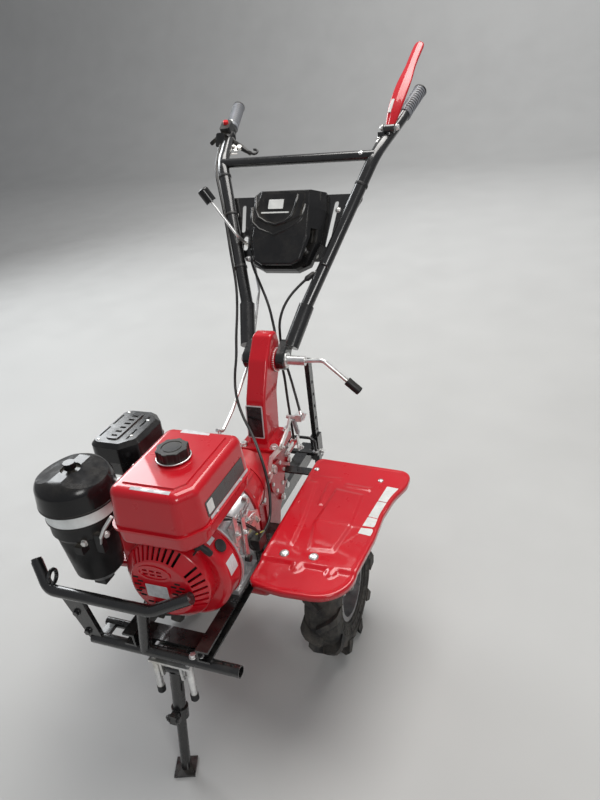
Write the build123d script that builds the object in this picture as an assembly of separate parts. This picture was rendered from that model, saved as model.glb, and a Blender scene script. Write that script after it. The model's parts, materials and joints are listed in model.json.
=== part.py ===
from build123d import *
import os
from math import cos, hypot, pi, radians, tan

# Two-wheeled petrol power weeder, all sizes in millimetres
# +X is the machine's left side, -Y its front (engine and bumper), +Z up
# Working frame of the functions: Y = 0 and X = 0 at the middle of the wheel axle, Z = 0 on the floor

# Wheels: 3.50-6 field tyres on hex half shafts
TYRE_R = 170.0
TYRE_W = 92.0
LUG_H = 15.0
LUG_W = 13.0
LUG_ROOT = 30.0
LUG_ANGLE = 38.0
LUG_COUNT = 10
BEAD_R = 77.0
BEAD_W = 60.0
RIM_WALL = 3.0
RIM_LIP = 9.0
RIM_DISC_T = 5.0
TRACK = 450.0
HUB_R = 21.0
HUB_IN = 62.0
HUB_OUT = 16.0
HEX_FLATS = 24.0
AXLE_Z = TYRE_R
JOURNAL_R = 17.0
END_GAP = 1.0
RUNNING_FIT = 0.05

# Gearbox, bell housing and steering column
CASE_W = 84.0
CASE_FOOT_R = 62.0
CASE_HUB_R = 38.0
CASE_HUB_X = 92.0
CASE_TOP_Z = 472.0
CASE_ROUND = 9.0
CASE_BOSS_R = 8.0
CASE_FRONT_Y = -20.0
CASE_BACK_Y = 200.0
NECK_R = 62.0
CRANK_Z = 455.0
BELL_FLANGE_R = 92.0
BELL_FLANGE_T = 10.0
PTO_Y = -115.0
BASE_L = 116.0
BASE_W = 104.0
BASE_T = 8.0
BASE_CORNER = 14.0
BASE_Y = 100.0
COLUMN_W = 52.0
PIVOT_Y = 226.0
PIVOT_Z = 674.0
PIVOT_R = 8.0
COLUMN_HEAD_H = 70.0

# Engine
BLOCK_X = 84.0
BLOCK_BASE_Z = 345.0
BLOCK_TOP_Z = 545.0
BLOCK_FRONT_Y = -272.0
CYL_TILT = 25.0
CYL_W = 96.0
CYL_Y = -185.0
FIN_COUNT = 7
FIN_PITCH = 11.0
SHROUD_R = 108.0
SHROUD_X = 14.0
SHROUD_Z = 449.0
SHROUD_Y = -330.0
RECOIL_R = 94.0
RECOIL_FACE_R = 68.0
RECOIL_T = 4.0
RECOIL_BAND = 24.0
RECOIL_OVAL = (-10.0, 492.0)
RECOIL_Y = -378.0
TANK_X = 22.0
TANK_Y = -269.0
TANK_W = 196.0
TANK_L = 254.0
TANK_SEAM_Z = 605.0
TANK_UP = 84.0
TANK_DOWN = 42.0
TANK_CORNER = 32.0
TANK_CHAMFER = 34.0
TANK_FLANGE = 5.0
TANK_PANEL = 3.0
CAP_R = 33.0
CAP_OFFSET = -4.0
CAP_H = 22.0
CAP_LOBES = 8

# Air cleaner and muffler on the engine's right side
AIR_X = -206.0
AIR_Y = -309.0
AIR_CAP_R = 82.0
AIR_CAP_Z = 600.0
AIR_CAP_H = 66.0
AIR_BAND_HALF = 14.0
AIR_BAND_R = 75.0
AIR_BAND_Z = 570.0
AIR_BOWL_R = 52.0
AIR_BOWL_Z = 392.0
CARB_X = -124.0
CARB_Z = 585.0
MUFFLER_X = -246.0
MUFFLER_Y = -62.0
MUFFLER_W = 108.0
MUFFLER_L = 156.0
MUFFLER_Z = 525.0
MUFFLER_H = 84.0
SHIELD_GAP = 6.0
SHIELD_T = 2.0
SHIELD_CUT = 34.0

# Frame, bumper and stand
RAIL_X = 85.0
RAIL_W = 28.0
RAIL_H = 32.0
RAIL_T = 5.0
RAIL_FRONT_Y = -415.0
RAIL_BACK_Y = -52.0
TUBE_D = 25.0
CROSS_Y = -405.0
CROSS_LEFT = 160.0
CROSS_RIGHT = -188.0
CROSS_BORE_R = 10.5
BAR_Z = 423.0
BAR_TIP_Z = 460.0
STAND_TILT = 11.0
STAND_TOP_Z = 258.0
STAND_TOP_Y = -400.0
SLEEVE_D = 28.0
SLEEVE_L = 104.0
LEG_D = 22.0
COLLAR_D = 36.0
COLLAR_L = 26.0
FOOT = 46.0
FOOT_T = 5.0
STAND_PIN_R = 6.0

# Fenders: outline corners of the machine's left fender as (x, y)
FENDER_Z = 388.0
FENDER_T = 2.0
FENDER_LIP = 13.0
FENDER_STEP = 7.0
FENDER_STEP_Y = -178.0
FENDER_PRESS = 3.0
FENDER_PANELS = [[(124, -126), (176, -126), (158, 112), (124, 112)],
                 [(214, -132), (268, -126), (277, -34), (274, 84), (206, 94), (197, -48)],
                 [(222, 106), (288, 102), (288, 118), (222, 122)]]
BRACKET_W = 28.0
BRACKET_T = 4.0
BRACKET_Y = (-152.0, 160.0)
BRACKET_TIE_X = 122.0
FENDER_PLAN = [(116, -250), (196, -262), (262, -250), (326, -186), (341, -100), (344, 20), (353, 88),
               (374, 150), (346, 203), (114, 222)]
FENDER_CORNERS = [12, 120, 70, 60, 100, 160, 60, 18, 26, 12]

# Handlebar: right-hand half of the bent tube, as (x, y, z)
ARM_D = 32.0
ARM_SLEEVE_D = 40.0
ARM_PATH = [(60, 254, 697), (84, 330, 780), (219, 572, 1102.5), (256.5, 726.5, 1170), (281, 853, 1224)]
ARM_BENDS = [90, 140, 60]
GRIP_D = 38.0
CROSSBAR_D = 26.0
DISC_R = 30.0
DISC_T = 8.0
LUG_T = 22.0
LUG_R = 26.0
CLAMP_HUB_R = 12.0
CRANK_END = (212.0, 226.0, 626.0)
PLATE_T = 3.0
KNOB_FOOT = (-180.0, 402.0, 1034.0)
LEVER_HOLE = (-121.0, -128.0)
COVER_H = 56.0
CONSOLE_UP = 304.0
COVER_BASE = [(-48, -212), (48, -212), (80, -196), (102, -136), (106, -48), (100, 2), (-100, 2), (-106, -48),
              (-102, -136), (-80, -196)]
COVER_FACE = [(-40, -206), (40, -206), (62, -192), (76, -130), (72, -50), (66, -6), (-66, -6), (-72, -50),
              (-76, -130), (-62, -192)]

# Hitch behind the gearbox with its depth bar
HITCH_X = 20.0
HITCH_Y = 452.0
HITCH_Z = 275.0
DEPTH_BAR = (14.0, 25.0)
DEPTH_TOP_Z = 574.0
DEPTH_FOOT_Z = 205.0
SOCKET_WALL = 5.0
SOCKET_H = 84.0
SLIDE_FIT = 0.3
HITCH_PIN_R = 5.0
BAIL_X = 42.0
BAIL_Y = 386.0
BAIL_Z = 344.0

# Rods and cables
ROD_D = 8.0
CABLE_D = 7.0
CABLE_ARC = 0.45
CABLE_GAP = 0.3
CLUTCH_RUN = [(68.0, 232.0, 558.0), (84.0, 207.0, 538.0)]


def rod(points, diameter, bends=None, bore=0.0):
    """Round bar or tube along straight runs joined by tangent arcs."""
    line = Line(*points) if len(points) == 2 else FilletPolyline(*points, radius=bends)
    section = Circle(diameter / 2)
    if bore:
        section = section - Circle(bore / 2)
    return sweep(Plane(origin=line @ 0, z_dir=line % 0) * section, path=line)


def cyl_x(x0, x1, y, z, radius):
    """Cylinder along X between two stations."""
    return Pos((x0 + x1) / 2, y, z) * Rot(0, 90, 0) * Cylinder(radius, abs(x1 - x0))


def cyl_y(y0, y1, x, z, radius):
    """Cylinder along Y between two stations."""
    return Pos(x, (y0 + y1) / 2, z) * Rot(90, 0, 0) * Cylinder(radius, abs(y1 - y0))


def block(x0, x1, y0, y1, z0, z1):
    """Box between two corners."""
    return Pos((x0 + x1) / 2, (y0 + y1) / 2, (z0 + z1) / 2) * Box(abs(x1 - x0), abs(y1 - y0), abs(z1 - z0))


def mirrored(shape):
    """The same piece on the other side of the machine."""
    return mirror(shape, about=Plane.YZ)


def rounded(points, radii):
    """Face with straight sides between its corner points, each corner with its own radius."""
    face = Polygon(*points, align=None)
    for (x, y), radius in zip(points, radii):
        if radius:
            near = sorted(face.vertices(), key=lambda v: hypot(v.X - x, v.Y - y))[0]
            face = fillet(near, radius)
    return face


def tyre():
    """Field tyre about the X axis at the origin, its tapered lugs fused to the carcass."""
    half, crown = TYRE_W / 2, TYRE_R - LUG_H
    side = [(BEAD_W / 2, BEAD_R), (BEAD_W / 2, BEAD_R + RIM_LIP), (half - 6, BEAD_R + 26),
            (half - 3, crown - 32), (half - 6, crown - 12), (half / 2, crown - 2)]
    profile = side + [(-x, r) for x, r in reversed(side)]
    carcass = revolve(Polygon(*profile, align=None), Axis.X)
    skin = Polygon((-half, crown - 28), (half, crown - 28), (half, TYRE_R - 10), (half - 12, TYRE_R),
                   (12 - half, TYRE_R), (-half, TYRE_R - 10), align=None)
    envelope = revolve(skin, Axis.X)
    lug = Pos(0, 0, TYRE_R + 1) * extrude(Rectangle(TYRE_W * 0.68, LUG_W), -(LUG_H + LUG_ROOT), taper=-8)
    pitch = 360 / LUG_COUNT
    lugs = []
    for side_sign in (-1, 1):
        bar = Pos(side_sign * TYRE_W * 0.27, 0, 0) * Rot(0, 0, side_sign * LUG_ANGLE) * lug
        bar = bar & envelope
        lugs += [Rot(pitch * (k + side_sign / 4), 0, 0) * bar for k in range(LUG_COUNT)]
    return carcass.fuse(*lugs)


def hexagon():
    """Face of the half shaft's hex, across the X axis."""
    return Plane.YZ * RegularPolygon(HEX_FLATS / 2, 6, major_radius=False)


def end_edges(shape, axis):
    """Edges of a shape's two end faces along an axis."""
    faces = shape.faces().sort_by(axis)
    return faces[0].edges() + faces[-1].edges()


def rim():
    """Pressed rim, disc and hub tube about the X axis, the hub's long end towards -X."""
    bead, r0 = BEAD_W / 2, BEAD_R
    lip = bead + RIM_WALL
    outline = Polyline((-lip, r0 + RIM_LIP), (-bead, r0 + RIM_LIP), (-bead, r0), (bead, r0),
                       (bead, r0 + RIM_LIP), (lip, r0 + RIM_LIP), (lip, r0 - RIM_WALL),
                       (RIM_DISC_T / 2, r0 - 2 * RIM_WALL), (RIM_DISC_T / 2, HUB_R), (HUB_OUT, HUB_R),
                       (HUB_OUT, 8), (-HUB_IN, 8), (-HUB_IN, HUB_R), (-RIM_DISC_T / 2, HUB_R),
                       (-RIM_DISC_T / 2, r0 - 2 * RIM_WALL), (-lip, r0 - RIM_WALL), close=True)
    solid = revolve(make_face(outline), Axis.X)
    bore = extrude(hexagon(), HUB_IN + HUB_OUT, both=True)
    holes = [Rot(90 * k + 45, 0, 0) * Pos(0, 0, 46) * Rot(0, 90, 0) * Cylinder(9, 20) for k in range(4)]
    return (solid - bore).cut(*holes)


def axle():
    """Half shaft: round journal in the gearbox hub, hex outboard; X = 0 at the machine's middle."""
    journal = cyl_x(CASE_W / 2 + END_GAP, CASE_HUB_X + END_GAP, 0, 0, JOURNAL_R)
    collar = cyl_x(CASE_HUB_X + END_GAP, CASE_HUB_X + 9, 0, 0, JOURNAL_R + 6)
    outer = extrude(hexagon(), TRACK / 2 + HUB_OUT + 8) & block(CASE_HUB_X + 9, TRACK, -50, 50, -50, 50)
    return journal + collar + outer


def gearbox():
    """Cast case: foot round the axle, tall body, neck to the bell housing, flange under the column."""
    r, z, half = CASE_FOOT_R, AXLE_Z, CASE_W / 2
    walls = Polyline((r, z), (110, 300), (CASE_BACK_Y, 368), (CASE_BACK_Y, CASE_TOP_Z),
                     (CASE_FRONT_Y, CASE_TOP_Z), (CASE_FRONT_Y, CRANK_Z - NECK_R - 18), (-50, 326),
                     (-r, z))
    side = make_face([ThreePointArc((-r, z), (0, z - r), (r, z)), *walls.edges()])
    side = fillet([v for v in side.vertices() if v.Y > z + 1], 14)
    case = extrude(Plane.YZ * side, half, both=True)
    case = fillet(end_edges(case, Axis.X), CASE_ROUND)
    neck = cyl_y(CASE_FRONT_Y, 40, 0, CRANK_Z, NECK_R)
    hubs = cyl_x(-CASE_HUB_X, CASE_HUB_X, 0, z, CASE_HUB_R)
    plates = cyl_x(-half - 8, half + 8, 0, z, CASE_HUB_R + 16)
    top = block(-BASE_W / 2, BASE_W / 2, BASE_Y, BASE_Y + BASE_L, CASE_TOP_Z - 12, CASE_TOP_Z)
    top = fillet(top.edges().filter_by(Axis.Z), BASE_CORNER)
    rear = cyl_y(CASE_BACK_Y - 10, CASE_BACK_Y + 14, 0, 418, 36)
    covers = cyl_x(-half - 7, half + 7, 99, 404, 44)
    bosses = [cyl_x(-half - 5, half + 5, y, bz, CASE_BOSS_R)
              for y, bz in ((-34, 262), (-31, 322), (2, 400), (62, 266), (112, 330), (180, 404), (180, 448))]
    ribs = [block(-half - 4, half + 4, y - 3, y + 3, z + CASE_HUB_R, 370) for y in (-18, 18)]
    webs = [block(-x - 3, -x + 3, BASE_Y - 60, BASE_Y + 10, 440, CASE_TOP_Z) for x in (-34, 34)]
    fill = cyl_x(half - 4, half + 14, 60, 452, 12)
    stay = block(26, 44, CASE_BACK_Y - 4, 262, 410, 416)
    bore = cyl_x(-CASE_HUB_X - 1, CASE_HUB_X + 1, 0, z, JOURNAL_R + RUNNING_FIT)
    core = cyl_x(-half, half, 0, z, JOURNAL_R + RUNNING_FIT)
    return case.fuse(neck, hubs, plates, top, rear, covers, fill, stay, *bosses, *ribs, *webs) - (bore - core)


def bell_housing():
    """Cone between the engine's output face and the gearbox neck, with webs along it."""
    y0, y1 = PTO_Y, CASE_FRONT_Y
    outline = Polygon((0, y0), (BELL_FLANGE_R, y0), (BELL_FLANGE_R, y0 + BELL_FLANGE_T),
                      (BELL_FLANGE_R - 10, y0 + BELL_FLANGE_T + 2), (NECK_R + 8, y1 - 22),
                      (NECK_R + 8, y1 - 8), (NECK_R + 10, y1 - 8), (NECK_R + 10, y1), (0, y1), align=None)
    cone = Pos(0, 0, CRANK_Z) * revolve(outline, Axis.Y)
    web = Polygon((BELL_FLANGE_R - 4, y0 + 2), (BELL_FLANGE_R - 4, y0 + BELL_FLANGE_T), (NECK_R + 9, y1 - 9),
                  (NECK_R - 10, y1 - 9), (NECK_R - 10, y0 + 2), align=None)
    web = Pos(0, 0, CRANK_Z) * extrude(web, 3, both=True)
    turned = [Pos(0, 0, CRANK_Z) * Rot(0, a, 0) * Pos(0, 0, -CRANK_Z) * web for a in range(0, 360, 45)]
    return cone.fuse(*turned)


def column():
    """Folded box column on its base plate, leaning back to the pivot, with the pivot's two discs."""
    floor, half, y0 = CASE_TOP_Z + BASE_T, COLUMN_W / 2, BASE_Y
    top = PIVOT_Z + COLUMN_HEAD_H
    corners = [(y0 + 12, floor), (y0 + 94, floor), (y0 + 112, 596), (PIVOT_Y + 28, PIVOT_Z - 16),
               (PIVOT_Y + 38, PIVOT_Z + 36), (PIVOT_Y + 26, top), (PIVOT_Y - 8, top),
               (y0 + 74, 692), (y0 + 26, 600)]
    side = rounded(corners, [1, 1, 60, 30, 12, 14, 18, 50, 60])
    tower = extrude(Plane.YZ * side, half, both=True)
    tower = fillet(end_edges(tower, Axis.X), 7)
    base = block(-BASE_W / 2, BASE_W / 2, y0, y0 + BASE_L, CASE_TOP_Z, floor)
    base = fillet(base.edges().filter_by(Axis.Z), BASE_CORNER)
    skirt = extrude(RectangleRounded(COLUMN_W + 22, BASE_L - 22, 12), 14, taper=38)
    skirt = Pos(0, y0 + BASE_L / 2 - 4, floor) * skirt
    discs = cyl_x(-half - DISC_T, half + DISC_T, PIVOT_Y, PIVOT_Z, DISC_R)
    return tower.fuse(base, skirt, discs) - cyl_x(-60, 60, PIVOT_Y, PIVOT_Z, PIVOT_R + RUNNING_FIT)


def engine_block():
    """Crankcase on its foot flange, with ribs, a filler neck and the output boss for the bell housing."""
    back = PTO_Y - 8
    case = block(-BLOCK_X + 20, BLOCK_X, BLOCK_FRONT_Y, back, BLOCK_BASE_Z + 12, BLOCK_TOP_Z - 30)
    case = fillet(case.edges().filter_by(Axis.Y), 22)
    dome = cyl_y(BLOCK_FRONT_Y, back, 8, CRANK_Z, BLOCK_X)
    foot = block(-RAIL_X - 10, RAIL_X + 10, BLOCK_FRONT_Y + 14, PTO_Y - 20, BLOCK_BASE_Z, BLOCK_BASE_Z + 12)
    flange = cyl_y(back - 12, back, 0, CRANK_Z, BELL_FLANGE_R)
    boss = cyl_y(back, PTO_Y, 0, CRANK_Z, BELL_FLANGE_R - 6)
    front = cyl_y(BLOCK_FRONT_Y, BLOCK_FRONT_Y + 8, 8, CRANK_Z, BLOCK_X + 10)
    ribs = [block(BLOCK_X - 14, BLOCK_X + 7, y - 2.5, y + 2.5, BLOCK_BASE_Z + 10, 432)
            for y in range(-250, -140, 24)]
    filler = Pos(BLOCK_X - 6, -164, 396) * Rot(0, 55, 0) * Cylinder(14, 44)
    post_top = TANK_SEAM_Z - TANK_DOWN
    posts = [block(x - 12, x + 12, y - 10, y + 10, BLOCK_TOP_Z - 60, post_top)
             for x in (0, 50) for y in (-200, -255)]
    return case.fuse(dome, foot, flange, boss, front, filler, *ribs, *posts)


def tilt_out(shape):
    """Turns a piece modelled along +Z from the crank axis to lie along the inclined cylinder."""
    return Pos(0, CYL_Y, CRANK_Z) * Rot(0, CYL_TILT - 90, 0) * shape


def cylinder():
    """Finned barrel and head, seated on the crankcase's side."""
    barrel = Pos(0, 0, 102) * Box(CYL_W - 26, CYL_W - 26, 96)
    fin = fillet(Box(CYL_W, CYL_W, 4).edges().filter_by(Axis.Z), 12)
    fins = [Pos(0, 0, 94 + FIN_PITCH * k) * fin for k in range(FIN_COUNT)]
    head = Pos(0, 0, 168) * Box(CYL_W - 14, CYL_W - 10, 36)
    return tilt_out(barrel.fuse(head, *fins)) - engine_block()


def rocker_cover():
    """Pressed cover on the cylinder head."""
    cover = Pos(0, 0, 200) * Box(74, 92, 28)
    return tilt_out(fillet(cover.edges().filter_by(Axis.Z) + cover.faces().sort_by(Axis.Z)[-1].edges(), 9))


def fan_shroud():
    """Deep pressed shroud round the fan, running out over the cylinder, with a rolled back flange."""
    fan = Pos(SHROUD_X, SHROUD_Z) * Circle(SHROUD_R)
    wing = Polygon((SHROUD_X + 84, SHROUD_Z + 66), (SHROUD_X, SHROUD_Z + SHROUD_R), (-108, CRANK_Z + 98),
                   (-120, CRANK_Z + 84), (-120, CRANK_Z - 10), (-70, CRANK_Z - 62), align=None)
    drum = Pos(0, BLOCK_FRONT_Y, 0) * extrude(Plane.XZ * (fan + wing), BLOCK_FRONT_Y - SHROUD_Y)
    drum = fillet(drum.faces().sort_by(Axis.Y)[0].edges(), 14)
    flange = cyl_y(BLOCK_FRONT_Y - 4, BLOCK_FRONT_Y, SHROUD_X, SHROUD_Z, SHROUD_R + 2)
    plug = Rot(0, 52, 0) * Pos(0, 0, SHROUD_R - 4) * Cylinder(13, 12)
    return drum + flange + Pos(SHROUD_X, BLOCK_FRONT_Y - 26, SHROUD_Z) * plug


def recoil_cover():
    """Recoil starter cover: dished shell, cooling slots on its slanted band, oval grille, small slots."""
    y, r, face, t = RECOIL_Y, RECOIL_R, RECOIL_FACE_R, RECOIL_T
    corner = y + RECOIL_BAND
    outline = [(0, y), (face, y), (r, corner), (r, SHROUD_Y), (r - t, SHROUD_Y), (r - t, corner + 2),
               (face - 2, y + t), (0, y + t)]
    profile = rounded(outline[1:3] + outline[3:] + outline[:1], [10, 8, 0, 0, 6, 8, 0, 0])
    shell = Pos(0, 0, CRANK_Z) * revolve(profile, Axis.Y)
    band = Pos(0, y + RECOIL_BAND / 2, (face + r) / 2) * Rot(-42, 0, 0) * Box(5.5, 3 * t, 30)
    slots = [Pos(0, 0, CRANK_Z) * Rot(0, a, 0) * band for a in range(-42, 31, 9)]
    slots += [Pos(0, 0, CRANK_Z) * Rot(0, a, 0) * band for a in range(56, 117, 10)]
    vent = Box(11, 3 * t, 4.5)
    grid = [(RECOIL_OVAL[0] + x, RECOIL_OVAL[1] + z) for z in (-5, 4) for x in (-20, -4, 12)]
    grid += [(x, CRANK_Z + z) for x in (-52, 36, 50) for z in (-25, -12, 1)]
    slots += [Pos(x, y, z) * vent for x, z in grid]
    ring = Plane.XZ * Pos(*RECOIL_OVAL) * (Ellipse(38, 19) - Ellipse(33, 14))
    ring = Pos(0, y + 1, 0) * extrude(ring, 3)
    badge = block(-36, 18, y - 1, y + 1, CRANK_Z - 27, CRANK_Z + 9)
    return shell.cut(*slots).fuse(ring, badge)


def tank_plan(inset):
    """Plan of the tank, one front corner cut off, drawn in from the seam flange."""
    w, half, cut = TANK_W / 2, TANK_L / 2, TANK_CHAMFER
    corners = [(-w, -half), (w - cut, -half), (w, cut * 1.25 - half), (w, half), (-w, half)]
    plan = rounded(corners, [TANK_CORNER] * len(corners))
    return offset(plan, -inset) if inset else plan


def fuel_tank():
    """Two pressed halves joined at a flanged seam, with a raised panel round the filler."""
    upper = extrude(tank_plan(TANK_FLANGE), TANK_UP, taper=5)
    upper = fillet(upper.faces().sort_by(Axis.Z)[-1].edges(), 17)
    lower = extrude(tank_plan(TANK_FLANGE), -TANK_DOWN, taper=9)
    lower = fillet(lower.faces().sort_by(Axis.Z)[0].edges(), 12)
    seam = Pos(0, 0, -2.5) * extrude(tank_plan(0), 5)
    panel = Pos(0, 0, TANK_UP) * extrude(tank_plan(TANK_FLANGE + 30), TANK_PANEL, taper=30)
    neck = Pos(CAP_OFFSET, 0, TANK_UP) * extrude(Circle(CAP_R - 6), TANK_PANEL + 4)
    return Pos(TANK_X, TANK_Y, TANK_SEAM_Z) * (upper + lower + seam + panel + neck)


def tank_cap():
    """Lobed filler cap with a dished top."""
    plan = Circle(CAP_R - 3)
    for k in range(CAP_LOBES):
        plan += Rot(0, 0, 360 / CAP_LOBES * k) * Pos(CAP_R - 7, 0) * Circle(7)
    knob = extrude(plan, CAP_H)
    knob = fillet(knob.faces().sort_by(Axis.Z)[-1].edges(), 2)
    dish = Pos(0, 0, CAP_H - 1.5) * extrude(Circle(CAP_R - 12) - Circle(CAP_R - 15), 3)
    return Pos(TANK_X + CAP_OFFSET, TANK_Y, TANK_SEAM_Z + TANK_UP + TANK_PANEL + 4) * (knob - dish)


def air_cap():
    """Domed lid of the oil-bath air cleaner: two flats falling off a centre band, knob in its pocket."""
    r, h = AIR_CAP_R, AIR_CAP_H
    outline = [Line((0, 0), (r - 4, 0)), Line((r - 4, 0), (r, 5)), Line((r, 5), (r - 3, h - 26)),
               ThreePointArc((r - 3, h - 26), (r - 13, h - 9), (r - 34, h)), Line((r - 34, h), (0, h)),
               Line((0, h), (0, 0))]
    dome = revolve(Plane.XZ * make_face(outline), Axis.Z)
    cut = Pos(r, 0, r / 2) * Box(2 * r, 3 * r, r)
    flat = Pos(AIR_BAND_HALF, 0, h) * Rot(0, 15, 0) * cut
    dome = dome - flat - mirrored(flat)
    pocket = Pos(0, 0, h) * Cylinder(21, 12)
    knob = Pos(0, 0, h - 4) * Cylinder(8, 12) + Pos(0, 0, h + 7) * Cylinder(12, 14)
    return Pos(AIR_X, AIR_Y, AIR_CAP_Z) * (dome - pocket + knob)


def air_band():
    """Clear ring between the lid and the bowl."""
    return Pos(AIR_X, AIR_Y, AIR_BAND_Z) * extrude(Circle(AIR_BAND_R), AIR_CAP_Z - AIR_BAND_Z)


def air_bowl():
    """Tapered oil bowl with a conical bottom, its foot and the wire latch's boss."""
    r0, r1, h = AIR_BAND_R - 3, AIR_BOWL_R, AIR_BAND_Z - AIR_BOWL_Z
    outline = Polygon((0, 0), (r1 - 24, 0), (r1, 26), (r0 - 6, h - 44), (r0, h - 34), (r0, h), (0, h),
                      align=None)
    bowl = Pos(AIR_X, AIR_Y, AIR_BOWL_Z) * revolve(Plane.XZ * outline, Axis.Z)
    foot = block(AIR_X - 18, AIR_X + 12, AIR_Y - 14, AIR_Y + 18, AIR_BOWL_Z - 22, AIR_BOWL_Z)
    latch = block(AIR_X + 20, AIR_X + 38, AIR_Y - r0 - 1, AIR_Y - r0 + 20, AIR_BAND_Z - 62, AIR_BAND_Z - 44)
    return bowl + foot + latch


def muffler():
    """Exhaust box over the cylinder head, with its stub down to the port."""
    x, y, z = MUFFLER_X, MUFFLER_Y, MUFFLER_Z
    box = extrude(Pos(x, y, z) * shield_plan(-SHIELD_GAP), MUFFLER_H)
    box = fillet(box.faces().sort_by(Axis.Z)[0].edges() + box.faces().sort_by(Axis.Z)[-1].edges(), 10)
    pipe = rod([(-152, -150, 528), (-152, -112, 528), (x + 20, -112, z + 20)], 26, 16)
    return box + pipe - cylinder()


def shield_plan(grow=0.0):
    """Plan of the heat shield, its two engine-side corners cut wide."""
    w, half, cut = MUFFLER_W / 2 + SHIELD_GAP + grow, MUFFLER_L / 2 + SHIELD_GAP + grow, SHIELD_CUT
    corners = [(-w, -half), (w - cut, -half), (w, cut - half), (w, half - cut), (w - cut, half), (-w, half)]
    return rounded(corners, [30, 14, 14, 14, 14, 30])


def muffler_shield():
    """Deep pressed heat shield over the exhaust box: chamfered top edge, a row of short slots, long slots."""
    tall = MUFFLER_H / 2 + SHIELD_GAP
    shell = extrude(shield_plan(), tall)
    shell = chamfer(shell.faces().sort_by(Axis.Z)[-1].edges(), 10)
    inner = extrude(shield_plan(-SHIELD_T), tall - SHIELD_T)
    inner = chamfer(inner.faces().sort_by(Axis.Z)[-1].edges(), 10)
    pad = SHIELD_GAP - SHIELD_T
    pads = [Pos(px, py, MUFFLER_H / 2 + pad / 2) * Box(10, 10, pad) for px in (-30, 14) for py in (-52, 52)]
    crown = Pos(-6, 0, tall) * extrude(RectangleRounded(34, MUFFLER_L - 36, 10), 3, taper=30)
    slots = [Pos(-6, py, tall) * Box(16, 7, 20) for py in range(-45, 46, 18)]
    slots += [Pos(px, py, tall) * Box(5, 44, 20) for px in (-44, 30) for py in (-28, 28)]
    shield = (shell - inner + crown).cut(*slots).fuse(*pads)
    return Pos(MUFFLER_X, MUFFLER_Y, MUFFLER_Z + MUFFLER_H / 2) * shield


def carburettor():
    """Carburettor on the head, with the elbow from the air cleaner."""
    z0 = CARB_Z
    body = block(CARB_X - 20, CARB_X + 20, CYL_Y - 24, CYL_Y + 24, z0 - 26, z0 + 20)
    elbow = rod([(AIR_X + 24, AIR_Y + 40, z0), (CARB_X, CYL_Y - 10, z0)], 26)
    return body + elbow - air_band() - cylinder() - rocker_cover()


def engine_side():
    """Throttle control plate, governor arm and link rods on the crankcase's open side."""
    x = BLOCK_X + 9
    plate = Plane.YZ * rounded([(-246, 442), (-118, 442), (-118, 470), (-160, 496), (-236, 496)], [6] * 5)
    plate = Pos(x, 0, 0) * extrude(plate, 3)
    plate = plate - cyl_x(x - 5, x + 10, -176, 462, 9) - cyl_x(x - 5, x + 10, -220, 470, 7)
    lever = rounded([(-214, 400), (-200, 400), (-196, 500), (-206, 500)], [4] * 4)
    lever = Pos(x + 8, 0, 0) * extrude(Plane.YZ * lever, 3)
    shaft = cyl_x(BLOCK_X - 14, x + 14, -207, 408, 5)
    bar = block(x, x + 3, -140, -122, 396, 446)
    clamp = block(x, x + 14, -140, -122, 396, 412)
    spacer = block(BLOCK_X - 12, x + 1, -230, -190, 450, 480)
    link = [(x + 11, -204, 494), (x + 11, -150, 488), (x + 11, -130, 452), (x + 1, -128, 440)]
    link = rod(link, 4, [20, 9])
    return plate.fuse(lever, shaft, bar, clamp, spacer, link) - engine_block()


def engine_rails():
    """Two channel rails under the engine with cross members and gussets to the gearbox."""
    z0, z1 = BLOCK_BASE_Z - RAIL_H, BLOCK_BASE_Z
    rail = block(RAIL_X - RAIL_W / 2, RAIL_X + RAIL_W / 2, RAIL_FRONT_Y, RAIL_BACK_Y, z0, z1)
    hollow = block(RAIL_X - RAIL_W / 2 + RAIL_T, RAIL_X + RAIL_W, RAIL_FRONT_Y - 1, RAIL_BACK_Y + 1,
                   z0 + RAIL_T, z1 - RAIL_T)
    rail = rail - hollow
    front = block(-RAIL_X, RAIL_X, RAIL_FRONT_Y + 26, RAIL_FRONT_Y + 66, z0, z0 + RAIL_T)
    rear = block(-RAIL_X, RAIL_X, RAIL_BACK_Y - 40, RAIL_BACK_Y, z0, z0 + RAIL_T)
    gusset = block(CASE_W / 2, RAIL_X + RAIL_W / 2, RAIL_BACK_Y - 40, 20, z0, z0 + RAIL_T)
    return rail + mirrored(rail) + front + rear + gusset + mirrored(gusset) - gearbox()


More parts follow.
